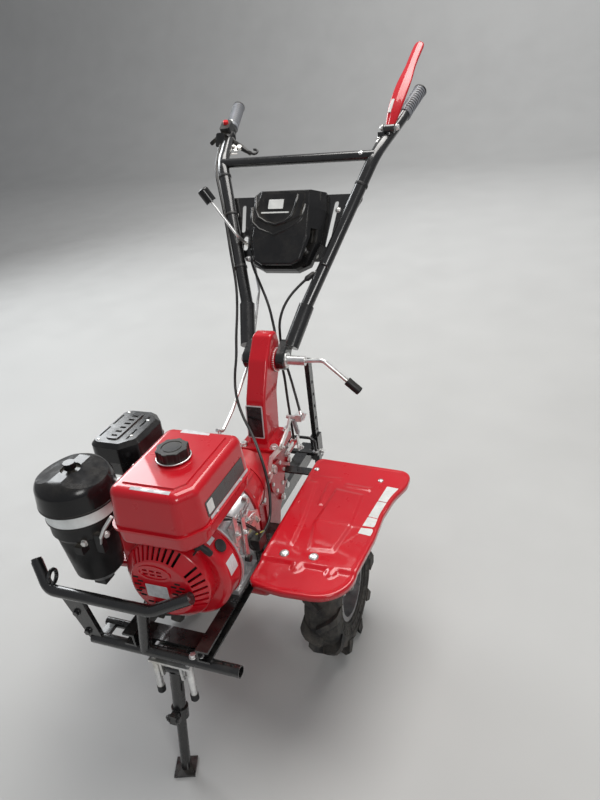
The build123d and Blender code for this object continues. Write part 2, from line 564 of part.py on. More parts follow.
def bumper():
    """Front guard: bent upper bar with rising ends, two uprights, cross tube under the rails, back brace."""
    z, y = BLOCK_BASE_Z - RAIL_H - TUBE_D / 2, CROSS_Y
    bar_y = y - 6
    bar = [(-300, y + 22, BAR_TIP_Z + 8), (-262, bar_y, BAR_Z), (-12, bar_y, BAR_Z), (74, y + 14, BAR_TIP_Z)]
    bar = rod(bar, TUBE_D, [36, 60])
    ends = [rod([(-300, y + 22, BAR_TIP_Z + 8), (-302.5, y + 24.5, BAR_TIP_Z + 12)], TUBE_D - 3)]
    cross = rod([(CROSS_RIGHT, y, z), (CROSS_LEFT, y, z)], TUBE_D)
    cross = cross - cyl_x(CROSS_LEFT - 120, CROSS_LEFT + 1, y, z, CROSS_BORE_R)
    left = Polygon((CROSS_RIGHT - 2, z - 6), (CROSS_RIGHT + 32, z - 8), (-188, BAR_Z - 4), (-240, BAR_Z - 4),
                   align=None)
    left = Pos(0, bar_y + 5, 0) * extrude(Plane.XZ * left, 5, both=True)
    right = rod([(-32, bar_y, BAR_Z), (-58, y, z)], TUBE_D)
    brace = rod([(CROSS_RIGHT + 4, y + 46, z), (RAIL_X, y + 46, z)], 20)
    ties = [block(x - 10, x + 10, y, y + 46, z - 5, z + 5) for x in (CROSS_RIGHT + 20, -60)]
    gusset = extrude(Pos(0, 0, z + 6) * Polygon((-50, y), (34, y), (34, y + 46), align=None), 4)
    return bar.fuse(cross, left, right, brace, gusset, *ties, *ends)


def stand_frame(shape):
    """Places a piece modelled along -Z from the stand's pivot at the stand's slant."""
    return Pos(0, STAND_TOP_Y, STAND_TOP_Z) * Rot(-STAND_TILT, 0, 0) * shape


def stand_bracket():
    """Two ears under the cross tube, the stand's pin and the two rods beside it."""
    z = BLOCK_BASE_Z - RAIL_H - TUBE_D
    y, foot = STAND_TOP_Y, STAND_TOP_Z
    ears = [block(x - 3, x + 3, y - 16, y + 16, foot - 14, z - 5) for x in (-24, 24)]
    pin = cyl_x(-32, 32, y, foot, STAND_PIN_R)
    rods = [rod([(x, y - 6, z - 5), (x, y - 12, foot - 66)], 10) for x in (-40, 40)]
    tie = block(-48, 48, y - 20, y + 48, z - 6, z)
    return tie.fuse(pin, *ears, *rods)


def stand_leg():
    """Stand: eye on the pin, outer tube with its clamp collar, inner leg and foot plate."""
    reach = STAND_TOP_Z / cos(radians(STAND_TILT))
    eye = Rot(0, 90, 0) * Cylinder(STAND_PIN_R + 7, 36)
    sleeve = Pos(0, 0, -6 - SLEEVE_L / 2) * Cylinder(SLEEVE_D / 2, SLEEVE_L)
    collar = Pos(0, 0, -6 - SLEEVE_L) * Cylinder(COLLAR_D / 2, COLLAR_L)
    ear = Pos(0, -COLLAR_D / 2 - 5, -6 - SLEEVE_L) * Box(16, 16, COLLAR_L - 6)
    leg = Pos(0, 0, -reach / 2) * Cylinder(LEG_D / 2, reach)
    stand = eye.fuse(sleeve, collar, ear, leg) - Rot(0, 90, 0) * Cylinder(STAND_PIN_R + RUNNING_FIT, 60)
    foot_y = STAND_TOP_Y - STAND_TOP_Z * tan(radians(STAND_TILT))
    foot = Pos(0, foot_y, FOOT_T / 2) * Rot(0, 0, 20) * Box(FOOT, FOOT, FOOT_T)
    floor = block(-60, 60, foot_y - 80, foot_y + 80, -30, 0)
    return stand_frame(stand) + foot - floor


def fender_band(high, low):
    """Slab between two offsets of the sheet's top, which steps down ahead of the front bolts."""
    z, y = FENDER_Z + FENDER_T, FENDER_STEP_Y
    line = [(-400, z - FENDER_STEP), (y - 5, z - FENDER_STEP), (y + 5, z), (400, z)]
    ring = [(a, b + low) for a, b in line] + [(a, b + high) for a, b in reversed(line)]
    return extrude(Plane.YZ * Polygon(*ring, align=None), 500)


def fender():
    """Pressed left fender: stepped sheet, raised panels, gussets on the step, turned-down lip."""
    plan = rounded(FENDER_PLAN, FENDER_CORNERS)
    base = FENDER_Z - 3 * FENDER_LIP
    prism = Pos(0, 0, base) * extrude(plan, 6 * FENDER_LIP)
    core = Pos(0, 0, base) * extrude(offset(plan, -FENDER_T, kind=Kind.INTERSECTION), 6 * FENDER_LIP)
    sheet = prism & fender_band(0, -FENDER_T)
    lip = (prism - core) & fender_band(0, -FENDER_LIP)
    panels = [Pos(0, 0, FENDER_Z + FENDER_T) * extrude(Polygon(*p, align=None), FENDER_PRESS, taper=35)
              for p in FENDER_PANELS]
    hollows = [Pos(0, 0, -FENDER_T) * panel for panel in panels]
    high, y1 = FENDER_Z + FENDER_T, FENDER_STEP_Y + 5
    low = high - FENDER_STEP
    wedge = Plane.YZ * Polygon((y1 - 23, low), (y1, low), (y1, high), align=None)
    gussets = [Pos(x, 0, 0) * extrude(wedge, 7, both=True) for x in (204, 281)]
    seats = [block(60, 330, y - BRACKET_W / 2, y + BRACKET_W / 2, FENDER_Z - BRACKET_T, FENDER_Z)
             for y in BRACKET_Y]
    return sheet.fuse(lip, *panels, *gussets).cut(*hollows, *seats)


def fender_bracket():
    """Flat bars that carry the left fender from the rail and the case."""
    z, half = FENDER_Z, BRACKET_W / 2
    outer = RAIL_X + RAIL_W / 2
    front, back = BRACKET_Y
    bars = block(outer, 320, front - half, front + half, z - BRACKET_T, z)
    bars += block(CASE_W / 2, 320, back - half, back + half, z - BRACKET_T, z)
    drop = block(outer, outer + BRACKET_T, front - half, front + half, BLOCK_BASE_Z - RAIL_H, z)
    lug = block(CASE_W / 2, CASE_W / 2 + BRACKET_T, back - half, back + half, z - 30, z)
    tie = block(BRACKET_TIE_X, BRACKET_TIE_X + 20, front, back, z - BRACKET_T, z)
    return bars + drop + lug + tie


def hitch():
    """Drawbar behind the gearbox with the depth bar's socket at its end and the cable bail over it."""
    w, d = DEPTH_BAR
    y0 = HITCH_Y - d / 2 - SLIDE_FIT - SOCKET_WALL
    y1 = HITCH_Y + d / 2 + SLIDE_FIT + SOCKET_WALL
    x0, x1 = HITCH_X - w / 2 - SLIDE_FIT, HITCH_X + w / 2 + SLIDE_FIT
    z0, z1 = HITCH_Z - SOCKET_H / 2, HITCH_Z + SOCKET_H / 2
    socket = block(x0 - SOCKET_WALL, x1 + SOCKET_WALL, y0, y1, z0, z1)
    socket = socket - block(x0, x1, HITCH_Y - d / 2 - SLIDE_FIT, HITCH_Y + d / 2 + SLIDE_FIT, z0 - 1, z1 + 1)
    arm = block(-18, 18, 60, y0, HITCH_Z - 20, HITCH_Z + 20)
    post = block(-30, 30, 60, 190, HITCH_Z + 20, 400)
    yoke = block(-BAIL_X - 8, BAIL_X + 8, BAIL_Y - 8, BAIL_Y + 8, HITCH_Z + 12, HITCH_Z + 22)
    x, y, leg = BAIL_X, BAIL_Y, HITCH_Z + 18
    bail = rod([(-x, y, leg), (-x, y, BAIL_Z), (x, y, BAIL_Z), (x, y, leg)], 9, 20)
    pin = cyl_x(x0 - 20, x1 + 20, HITCH_Y, HITCH_Z - 18, HITCH_PIN_R + SLIDE_FIT)
    return arm.fuse(post, socket, yoke, bail) - gearbox() - pin


def depth_bar():
    """Drilled bar standing in the socket, rounded at its top."""
    w, d = DEPTH_BAR
    bar = block(HITCH_X - w / 2, HITCH_X + w / 2, HITCH_Y - d / 2, HITCH_Y + d / 2, DEPTH_FOOT_Z, DEPTH_TOP_Z)
    bar = fillet(bar.faces().sort_by(Axis.Z)[-1].edges().filter_by(Axis.X), d / 2 - 0.5)
    holes = [cyl_x(HITCH_X - 30, HITCH_X + 30, HITCH_Y, HITCH_Z - 18 + 40 * k, HITCH_PIN_R + SLIDE_FIT)
             for k in range(7)]
    return bar.cut(*holes)


def hitch_pin():
    """Pin through the socket and the depth bar."""
    w = DEPTH_BAR[0] / 2 + SLIDE_FIT + SOCKET_WALL
    pin = cyl_x(HITCH_X - w - 12, HITCH_X + w + 10, HITCH_Y, HITCH_Z - 18, HITCH_PIN_R)
    head = cyl_x(HITCH_X + w, HITCH_X + w + 3, HITCH_Y, HITCH_Z - 18, HITCH_PIN_R + 5)
    return pin + head


def clutch_arm():
    """Kinked flat arm on the case's left side that the clutch cable pulls, with shaft, clevis, ferrule."""
    x = CASE_W / 2
    shaft = cyl_x(x - 6, x + 24, 30, 456, 9)
    path = Polyline((30, 456), (52, 490), (112, 483), (168, 504), (196, 526))
    bar = Pos(x + 16, 0, 0) * extrude(Plane.YZ * trace(path, 14), 4)
    fork = cyl_x(x + 8, x + 48, 196, 526, 5) + block(x + 34, x + 50, 189, 203, 517, 535)
    start, end = [Vector(*p) for p in CLUTCH_RUN]
    along = (end - start).normalized()
    ferrule = rod([end + along * CABLE_GAP, end + along * 12], CABLE_D + 2)
    return shaft + bar + fork + ferrule - gearbox()


def shift_link():
    """Bent rod from the shift lever's foot forward to the case, turned up at its front end."""
    points = [(-66, 262, 650), (-66, 127, 572), (-66, 62, 548), (-66, 36, 566)]
    lever = rod([(-66, 44, 560), (-48, 30, 500), (-30, 24, 468)], ROD_D, 30)
    return rod(points, ROD_D, [60, 16]) + lever - gearbox()


def arm():
    """Left arm of the handlebar: round-ended lug on the pivot, thick lower sleeve, bent upper tube."""
    tube = rod(ARM_PATH, ARM_D, ARM_BENDS)
    sleeve = rod(ARM_PATH[:2], ARM_SLEEVE_D)
    x0 = COLUMN_W / 2 + DISC_T + END_GAP
    x, y, z = ARM_PATH[0]
    lug = Pos(PIVOT_Y, PIVOT_Z) * Circle(LUG_R) + Pos(y, z) * Circle(ARM_SLEEVE_D / 2 - 1)
    lug = make_hull(lug.edges())
    lug = Pos(x0, 0, 0) * extrude(Plane.YZ * lug, LUG_T)
    lug = chamfer(lug.faces().sort_by(Axis.X)[-1].edges(), 3)
    trim = cyl_x(0, x0, PIVOT_Y, PIVOT_Z, 3 * DISC_R)
    recess = cyl_x(x0 + LUG_T, 120, PIVOT_Y, PIVOT_Z, CLAMP_HUB_R + 2)
    return (tube + sleeve - trim - recess + lug) - cyl_x(0, 90, PIVOT_Y, PIVOT_Z, PIVOT_R)


def crossbar():
    """Tube between the arms."""
    x, y, z = ARM_PATH[2]
    return rod([(-x, y, z), (x, y, z)], CROSSBAR_D) - arm() - mirrored(arm())


def grip():
    """Ribbed grip on the arm's end."""
    a, b = Vector(*ARM_PATH[3]), Vector(*ARM_PATH[4])
    a = a + (b - a) * 0.12
    along = (b - a).normalized()
    end = b + along * 4
    line = Line(a, end)
    body = sweep(Plane(origin=a, z_dir=along) * Circle(GRIP_D / 2), path=line)
    return body - rod(ARM_PATH[3:], ARM_D)


def console_plane(height=0.0):
    """Frame on the arms' rear side: x across, y up the slope from the console's top edge, z to the front."""
    low, high = Vector(*ARM_PATH[1]), Vector(*ARM_PATH[2])
    slope = Vector(0, high.Y - low.Y, high.Z - low.Z).normalized()
    normal = Vector(1, 0, 0).cross(slope)
    top = Vector(0, low.Y, low.Z) + slope * CONSOLE_UP
    return Plane(origin=top + normal * (height - ARM_D / 2), x_dir=(1, 0, 0), z_dir=normal)


def console_plate():
    """Sheet plate behind the arms, with its slots."""
    corners = [(-112, -180), (112, -180), (194, -14), (194, 4), (-194, 4), (-194, -14)]
    outline = rounded(corners, [12, 12, 8, 4, 4, 8])
    outline = outline - Pos(-137, -58) * Rot(0, 0, 96) * SlotOverall(78, 11)
    outline = outline - Pos(*LEVER_HOLE) * Rot(0, 0, 96) * SlotOverall(40, 13)
    outline = outline - Pos(120, -78) * Rot(0, 0, 84) * SlotOverall(126, 11)
    outline = outline - Pos(142, -88) * Rot(0, 0, 70) * SlotOverall(52, 8)
    return console_plane() * extrude(outline, -PLATE_T)


def console_cover():
    """Moulded cover between the arms: wide base, shield-shaped face with a step, side flats."""
    base = Polygon(*COVER_BASE, align=None)
    face = Polygon(*COVER_FACE, align=None)
    shell = loft([base, Pos(0, 0, COVER_H * 0.3) * base, Pos(0, 0, COVER_H) * face], ruled=True)
    shell = fillet(shell.faces().sort_by(Axis.Z)[-1].edges(), 6)
    step = Polygon((-130, -96), (0, -126), (130, -96), (130, -260), (-130, -260), align=None)
    shell = shell - Pos(0, 0, COVER_H - 8) * extrude(step, 20)
    shield = rounded([(0, -102), (50, -78), (58, -16), (-58, -16), (-50, -78)], [14, 12, 8, 8, 12])
    shell = shell + Pos(0, 0, COVER_H - 1) * extrude(shield, 3)
    rib = Rot(0, 0, 62) * RectangleRounded(54, 7, 3)
    rib = Pos(34, -164, COVER_H - 9) * extrude(rib, 4)
    return console_plane() * shell.fuse(rib, mirrored(rib))


def clutch_lever():
    """Long flat clutch hand lever over the left grip, on its bracket."""
    path = [(243, 640, 1158), (262, 700, 1230), (275, 800, 1303), (283, 865, 1345)]
    path = FilletPolyline(*path, radius=[60, 60])
    section = Plane(origin=path @ 0, x_dir=(1, 0, 0), z_dir=path % 0) * RectangleRounded(15, 25, 6)
    blade = sweep(section, path=path)
    boss = cyl_x(226, 262, 640, 1158, 14)
    clip = rod([(238, 640, 1132), (243, 640, 1158)], 16)
    anchor = block(204, 232, 631, 637, 1118, 1160)
    return blade.fuse(boss, clip, anchor) - arm()


def throttle_control():
    """Throttle body clamped below the right grip, its lever and the stop switch's case."""
    along = Vector(*ARM_PATH[3]) - Vector(*ARM_PATH[2])
    clamp = Plane(origin=(-252, 690, 1156), z_dir=along) * Cylinder(22, 24)
    body = Pos(-252, 696, 1182) * Rot(24, 0, 8) * fillet(Box(30, 46, 26).edges().filter_by(Axis.Z), 6)
    lever = rod([(-246, 690, 1170), (-214, 676, 1134), (-172, 662, 1112)], 9, 30)
    return clamp.fuse(body, lever) - mirrored(arm())


def shift_lever():
    """Gear lever's rod: through the console slot and down behind the plate, with its boot."""
    fore = console_plane(ARM_D + 20).from_local_coords(Vector(*LEVER_HOLE, 0))
    aft = console_plane(-34).from_local_coords(Vector(*LEVER_HOLE, 0))
    rod_path = [KNOB_FOOT, tuple(fore), tuple(aft), (-76, 398, 800), (-62, 284, 684)]
    bar = rod(rod_path, ROD_D, [18, 22, 60])
    boot = console_plane() * Pos(*LEVER_HOLE) * extrude(Circle(5.5), 6)
    return bar + boot


def shift_knob():
    """Knob on the gear lever."""
    fore = console_plane(ARM_D + 20).from_local_coords(Vector(*LEVER_HOLE, 0))
    foot = Vector(*KNOB_FOOT)
    knob = Cylinder(15, 40, align=(Align.CENTER, Align.CENTER, Align.MIN))
    knob = fillet(knob.faces().sort_by(Axis.Z)[-1].edges(), 6)
    return Plane(origin=foot, z_dir=foot - fore) * knob


def clamp_lever():
    """Crank handle of the handlebar's clamp bolt."""
    x0 = COLUMN_W / 2 + DISC_T + END_GAP + LUG_T
    hub = cyl_x(x0, x0 + 50, PIVOT_Y, PIVOT_Z, CLAMP_HUB_R)
    crank = rod([(x0 + 44, PIVOT_Y, PIVOT_Z), (154, PIVOT_Y, PIVOT_Z + 4), CRANK_END], 11, 20)
    pin = cyl_x(-x0 - 8, x0, PIVOT_Y, PIVOT_Z, PIVOT_R)
    nut = extrude(Plane.YZ * Pos(PIVOT_Y, PIVOT_Z) * RegularPolygon(12, 6, major_radius=False), 7)
    return hub + crank + pin + Pos(-x0 - 7, 0, 0) * nut


def clamp_knob():
    """Plastic sleeve on the clamp crank's end."""
    end, bend = Vector(*CRANK_END), Vector(154, PIVOT_Y, PIVOT_Z + 4)
    knob = Cylinder(11, 42, align=(Align.CENTER, Align.CENTER, Align.MIN))
    knob = fillet(knob.faces().sort_by(Axis.Z)[-1].edges(), 4)
    return Plane(origin=end, z_dir=end - bend) * knob


def cable(points):
    """Cable along hand-picked points, each corner as round as its two runs allow."""
    corners = [Vector(*p) for p in points]
    bends = []
    for a, b, c in zip(corners, corners[1:], corners[2:]):
        turn = (b - a).get_angle(c - b)
        bends.append(CABLE_ARC * min((b - a).length, (c - b).length) / tan(radians(turn / 2)))
    tube = rod(points, CABLE_D, bends)
    path = FilletPolyline(*points, radius=bends)
    print("cable radii", [round(r) for r in bends], "volume over section times length",
          round(tube.volume / (pi * CABLE_D ** 2 / 4 * path.length), 4))
    return tube


def throttle_cable():
    """Throttle cable from the pivot's axis, across the column's front, to the engine's control plate."""
    return cable([(-84, 226, 674), (-81, 194, 637), (-65, 154, 602), (-36, 118, 564), (6, 78, 538),
                  (44, 28, 522), (72, -8, 488), (86, -30, 446), (93, -58, 408), (100, -92, 404),
                  (100, -121.7, 404)])


def throttle_cable_upper():
    """Throttle cable's upper length, clipped along the right arm from its control to the pivot's axis."""
    return cable([(-265, 673.7, 1150.8), (-253.3, 624.6, 1129.4), (-234, 549, 1089), (-204.5, 503, 1035.5),
                  (-174, 453, 966.5), (-147, 400.5, 898.5), (-117, 350, 830), (-101, 302, 774),
                  (-90, 252, 722), (-84.2, 227.6, 677.4)])


def clutch_cable():
    """Clutch cable from behind the column's head to the clevis on the clutch arm."""
    return cable([(17, 290, 658), (30, 284, 620), (49, 260, 586), *CLUTCH_RUN])


def clutch_cable_upper():
    """Clutch cable's upper length: down the left arm, behind the console plate, then free to the column."""
    return cable([(212.5, 628.5, 1126.8), (204, 604, 1108), (186, 573, 1068), (166, 543, 1015),
                  (148, 513, 964), (131, 476.6, 910), (106, 425.4, 857.2), (66, 372, 832), (30, 332, 796),
                  (14, 304, 750), (16, 292, 704)])


def reverse_cable():
    """Reverse cable from behind the column's head to its stay on the case's back."""
    return cable([(7, 290, 656), (19, 282, 602), (22, 275, 546), (27, 268, 492), (34, 256, 444),
                  (34, 256, 416.3)])


def reverse_cable_upper():
    """Reverse cable's upper length, from the back of the console plate to the column's head."""
    return cable([(-114, 447, 897.5), (-100, 422, 862), (-62, 378, 824), (-22, 332, 778), (-1, 300, 728),
                  (5, 290, 700)])


def build_nodes():
    """Every node by its name, in the working frame."""
    nodes = {
        "gearbox": gearbox(),
        "bell_housing": bell_housing(),
        "column": column(),
        "engine_block": engine_block(),
        "cylinder": cylinder(),
        "rocker_cover": rocker_cover(),
        "fan_shroud": fan_shroud(),
        "recoil_cover": recoil_cover(),
        "fuel_tank": fuel_tank(),
        "tank_cap": tank_cap(),
        "air_cleaner_lid": air_cap(),
        "air_cleaner_ring": air_band(),
        "air_cleaner_bowl": air_bowl(),
        "muffler": muffler(),
        "muffler_shield": muffler_shield(),
        "carburettor": carburettor(),
        "engine_controls": engine_side(),
        "engine_rails": engine_rails(),
        "bumper": bumper(),
        "stand_bracket": stand_bracket(),
        "stand_leg": stand_leg(),
        "hitch": hitch(),
        "depth_bar": depth_bar(),
        "hitch_pin": hitch_pin(),
        "clutch_arm": clutch_arm(),
        "shift_link": shift_link(),
        "crossbar": crossbar(),
        "console_plate": console_plate(),
        "console_cover": console_cover(),
        "clutch_lever": clutch_lever(),
        "throttle_control": throttle_control(),
        "shift_lever": shift_lever(),
        "shift_knob": shift_knob(),
        "clamp_lever": clamp_lever(),
        "clamp_knob": clamp_knob(),
        "throttle_cable": throttle_cable(),
        "throttle_cable_upper": throttle_cable_upper(),
        "clutch_cable": clutch_cable(),
        "clutch_cable_upper": clutch_cable_upper(),
        "reverse_cable": reverse_cable(),
        "reverse_cable_upper": reverse_cable_upper(),
    }
    out = TRACK / 2
    pairs = {
        "tyre": Pos(out, 0, AXLE_Z) * tyre(),
        "rim": Pos(out, 0, AXLE_Z) * rim(),
        "axle": Pos(0, 0, AXLE_Z) * axle(),
        "fender": fender(),
        "fender_bracket": fender_bracket(),
        "handlebar_arm": arm(),
        "grip": grip(),
    }
    for name, shape in pairs.items():
        nodes[name + "_left"] = shape
        nodes[name + "_right"] = mirrored(shape)
    return nodes


def write_nodes(nodes):
    """Moves the origin to the floor under the middle of the overall box and writes one file per node."""
    boxes = [shape.bounding_box() for shape in nodes.values()]
    mid_x = (min(b.min.X for b in boxes) + max(b.max.X for b in boxes)) / 2
    mid_y = (min(b.min.Y for b in boxes) + max(b.max.Y for b in boxes)) / 2
    print("origin in the working frame:", round(mid_x, 3), round(mid_y, 3), 0)
    os.makedirs("parts", exist_ok=True)
    for name, shape in nodes.items():
        export_step(Pos(-mid_x, -mid_y, 0) * shape, f"parts/{name}.step")


write_nodes(build_nodes())
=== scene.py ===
"""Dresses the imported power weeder: finishes for its solids, fine pieces, floor, lights and camera."""
import json
from math import copysign, cos, pi, radians, sin, tan

import bmesh
import bpy
from mathutils import Matrix, Vector


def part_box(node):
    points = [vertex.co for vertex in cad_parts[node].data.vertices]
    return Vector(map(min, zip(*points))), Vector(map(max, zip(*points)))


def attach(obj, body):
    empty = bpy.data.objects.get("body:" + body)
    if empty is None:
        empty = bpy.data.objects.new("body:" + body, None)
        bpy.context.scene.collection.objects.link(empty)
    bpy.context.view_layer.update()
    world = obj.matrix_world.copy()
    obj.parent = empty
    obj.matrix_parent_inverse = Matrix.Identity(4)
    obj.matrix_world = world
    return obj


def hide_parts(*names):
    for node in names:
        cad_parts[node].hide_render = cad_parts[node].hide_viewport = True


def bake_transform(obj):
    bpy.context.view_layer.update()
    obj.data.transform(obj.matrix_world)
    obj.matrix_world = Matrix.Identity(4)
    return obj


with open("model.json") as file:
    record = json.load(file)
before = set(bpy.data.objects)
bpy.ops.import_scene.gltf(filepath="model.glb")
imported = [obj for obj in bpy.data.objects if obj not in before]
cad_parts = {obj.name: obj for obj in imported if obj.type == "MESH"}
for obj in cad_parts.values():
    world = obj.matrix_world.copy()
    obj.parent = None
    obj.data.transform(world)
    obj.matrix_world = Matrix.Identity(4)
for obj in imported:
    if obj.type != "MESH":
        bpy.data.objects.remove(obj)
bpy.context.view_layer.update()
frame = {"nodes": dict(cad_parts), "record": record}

bl_info = {
    "name": "Power weeder",
    "version": (1, 0, 0),
    "blender": (4, 5, 0),
    "location": "View3D > Sidebar > Weeder",
    "description": "Builds the finishes and the fine pieces of a two-wheeled power weeder",
    "category": "Object",
}

RECORD = frame["record"]
MM = 0.001
AXLE_Y = sum(corner.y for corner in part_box("axle_left")) / 2
UP, LEFT, RIGHT, REAR, FRONT = (0, 0, 1), (1, 0, 0), (-1, 0, 0), (0, 1, 0), (0, -1, 0)
SIDES = (1, -1)
COIL_STEPS = 10


def at(x, y, z):
    """A point of the maker's drawing, in millimetres with the axle at y 0, as scene metres."""
    return Vector((x, y, z)) * MM + Vector((0, AXLE_Y, 0))


def turns(count, start=0.0, span=2 * pi):
    """Angles evenly spaced round a circle or part of it."""
    return [start + span * k / count for k in range(count)]


def across(way):
    """Two directions square to a way and to each other."""
    way = Vector(way).normalized()
    first = Vector(UP if abs(way.z) < 0.9 else LEFT).cross(way).normalized()
    return first, way.cross(first)


def spokes(way, count, start=0.0, span=2 * pi):
    """Unit vectors evenly spaced round a way and square to it."""
    u, v = across(way)
    return [u * cos(a) + v * sin(a) for a in turns(count, start, span)]


def coil(foot, way, length, radius, count):
    """Points of a spring's wire: so many turns round a way, over a length from foot."""
    out, steps = spokes(way, COIL_STEPS), count * COIL_STEPS
    return [foot + way * length * k / steps + out[k % COIL_STEPS] * radius for k in range(steps + 1)]


def oblong(width, height, corner, steps=4):
    """Outline of a rectangle with round corners about its middle."""
    outline = []
    for turn, (sx, sy) in enumerate(((1, 1), (-1, 1), (-1, -1), (1, -1))):
        for k in range(steps + 1):
            angle = pi / 2 * (turn + k / steps)
            outline.append((sx * (width / 2 - corner) + corner * cos(angle),
                            sy * (height / 2 - corner) + corner * sin(angle)))
    return outline


def drawn(corners):
    """A box's lowest and highest corner in the maker's drawing."""
    return [corner / MM - Vector((0, AXLE_Y / MM, 0)) for corner in corners]


def linked(name, data):
    """An object of that data, laid in the scene."""
    piece = bpy.data.objects.new(name, data)
    bpy.context.collection.objects.link(piece)
    return piece


def round_edges(piece, width, angle=35):
    """A small rounding on the edges that are sharper than an angle in degrees."""
    rounding = piece.modifiers.new("Edge rounding", "BEVEL")
    rounding.width = width
    rounding.segments = 2
    rounding.limit_method = "ANGLE"
    rounding.angle_limit = radians(angle)
    rounding.harden_normals = True


class Form:
    """A mesh in the making, in millimetres of the maker's drawing. Each shape returns the form."""

    def __init__(self):
        self.mesh = bmesh.new()

    def loop(self, points):
        """A ring of vertices."""
        return [self.mesh.verts.new(at(*p)) for p in points]

    def skin(self, rings, ends=True):
        """Faces from ring to ring, and over the first and the last where ends is true."""
        count = len(rings[0])
        for low, high in zip(rings, rings[1:]):
            for k in range(count):
                n = (k + 1) % count
                self.mesh.faces.new((low[k], low[n], high[n], high[k]))
        if ends:
            self.mesh.faces.new(rings[0][::-1])
            self.mesh.faces.new(rings[-1])
        return self

    def turned(self, foot, way, profile, sides=24):
        """Solid of rings along a way from foot. The profile lists (distance, radius)."""
        foot, way = Vector(foot), Vector(way).normalized()
        out = spokes(way, sides)
        return self.skin([self.loop([foot + way * along + spoke * radius for spoke in out])
                          for along, radius in profile])

    def hoop(self, middle, way, radius, thick, sides=48, start=0.0, span=2 * pi):
        """Ring, or part of one, of round bar about an axis through its middle."""
        whole = span == 2 * pi
        count, reach = (sides, span) if whole else (sides + 1, span * (sides + 1) / sides)
        middle, way = Vector(middle), Vector(way).normalized()
        rings = []
        for spoke in spokes(way, count, start, reach):
            rings.append(self.loop([middle + spoke * (radius + thick * cos(b)) + way * thick * sin(b)
                                    for b in turns(8)]))
        return self.skin(rings + rings[:1] if whole else rings, ends=not whole)

    def bar(self, points, radius, sides=12):
        """Round bar through points, or one that changes its thickness where radius is a list."""
        points = [Vector(p) for p in points]
        radii = radius if isinstance(radius, list) else [radius] * len(points)
        rings = []
        side = across(points[1] - points[0])[0]
        for k, (point, size) in enumerate(zip(points, radii)):
            way = (points[min(k + 1, len(points) - 1)] - points[max(k - 1, 0)]).normalized()
            side = (side - way * side.dot(way)).normalized()
            other = way.cross(side)
            rings.append(self.loop([point + (side * cos(a) + other * sin(a)) * size for a in turns(sides)]))
        return self.skin(rings)

    def slab(self, origin, right, up, outline, thick):
        """Plate whose outline lies in the plane of right and up, thick towards the viewer of that plane."""
        origin, right, up = Vector(origin), Vector(right).normalized(), Vector(up)
        up = (up - right * up.dot(right)).normalized()
        out = right.cross(up)
        flat = [origin + right * x + up * y for x, y in outline]
        return self.skin([self.loop(flat), self.loop([p + out * thick for p in flat])])

    def block(self, low, high):
        """Box between two corners."""
        (x0, y0, z0), (x1, y1, z1) = low, high
        outline = [(0, 0), (x1 - x0, 0), (x1 - x0, y1 - y0), (0, y1 - y0)]
        return self.slab(low, LEFT, REAR, outline, z1 - z0)

    def bolt(self, foot, way, size, washer=True, stud=0.0):
        """Hex head or nut of a thread size on its washer, with a thread's end standing out of a nut."""
        foot, way = Vector(foot), Vector(way).normalized()
        if washer:
            self.turned(foot, way, [(-0.5, size * 1.12), (size * 0.18, size * 1.12)])
            foot = foot + way * size * 0.18
        head = [(-0.5, size * 0.94), (size * 0.55, size * 0.94), (size * 0.66, size * 0.8)]
        self.turned(foot, way, head, 6)
        if stud:
            end = size * 0.66 + stud
            self.turned(foot, way, [(0, size / 2), (end - 1, size / 2), (end, size / 2 - 1)], 16)
        return self

    def dome(self, foot, way, radius):
        """Round-headed bolt or rivet."""
        rise = [(0.1, 1.0), (0.3, 0.86), (0.44, 0.56), (0.5, 0.2)]
        return self.turned(foot, way, [(-0.5, radius), *[(a * radius, r * radius) for a, r in rise]], 20)

    def fasten(self, rows):
        """Fasteners of a table: shape, thread or head radius, the way they face, where they sit."""
        for shape, size, way, places in rows:
            for place in places:
                if shape == "dome":
                    self.dome(place, way, size)
                else:
                    stud = 4.0 if shape == "nut" else 0.0
                    self.bolt(place, way, size, washer=shape != "plain bolt", stud=stud)
        return self

    def place(self, name, finish, body="machine", edge=0.35):
        """Makes the piece, gives it its finish, and rides it on its body."""
        bmesh.ops.recalc_face_normals(self.mesh, faces=self.mesh.faces)
        data = bpy.data.meshes.new(name)
        self.mesh.to_mesh(data)
        self.mesh.free()
        data.shade_smooth()
        piece = linked(name, data)
        if edge:
            round_edges(piece, edge * MM)
        return dressed(piece, finish, body)


def dressed(piece, finish, body="machine"):
    """A piece with its finish, riding on its body."""
    piece.data.materials.append(FINISHES[finish])
    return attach(piece, body)


def thread(name, points, diameter):
    """A smooth curve near its points, drawn as a round wire of that diameter."""
    curve = bpy.data.curves.new(name, "CURVE")
    curve.dimensions = "3D"
    line = curve.splines.new("NURBS")
    line.points.add(len(points) - 1)
    for spot, point in zip(line.points, points):
        spot.co = (*at(*point), 1.0)
    line.order_u = 3
    line.use_endpoint_u = True
    curve.resolution_u = 10
    curve.bevel_depth = diameter / 2 * MM
    curve.bevel_resolution = 3
    curve.use_fill_caps = True
    return linked(name, curve)


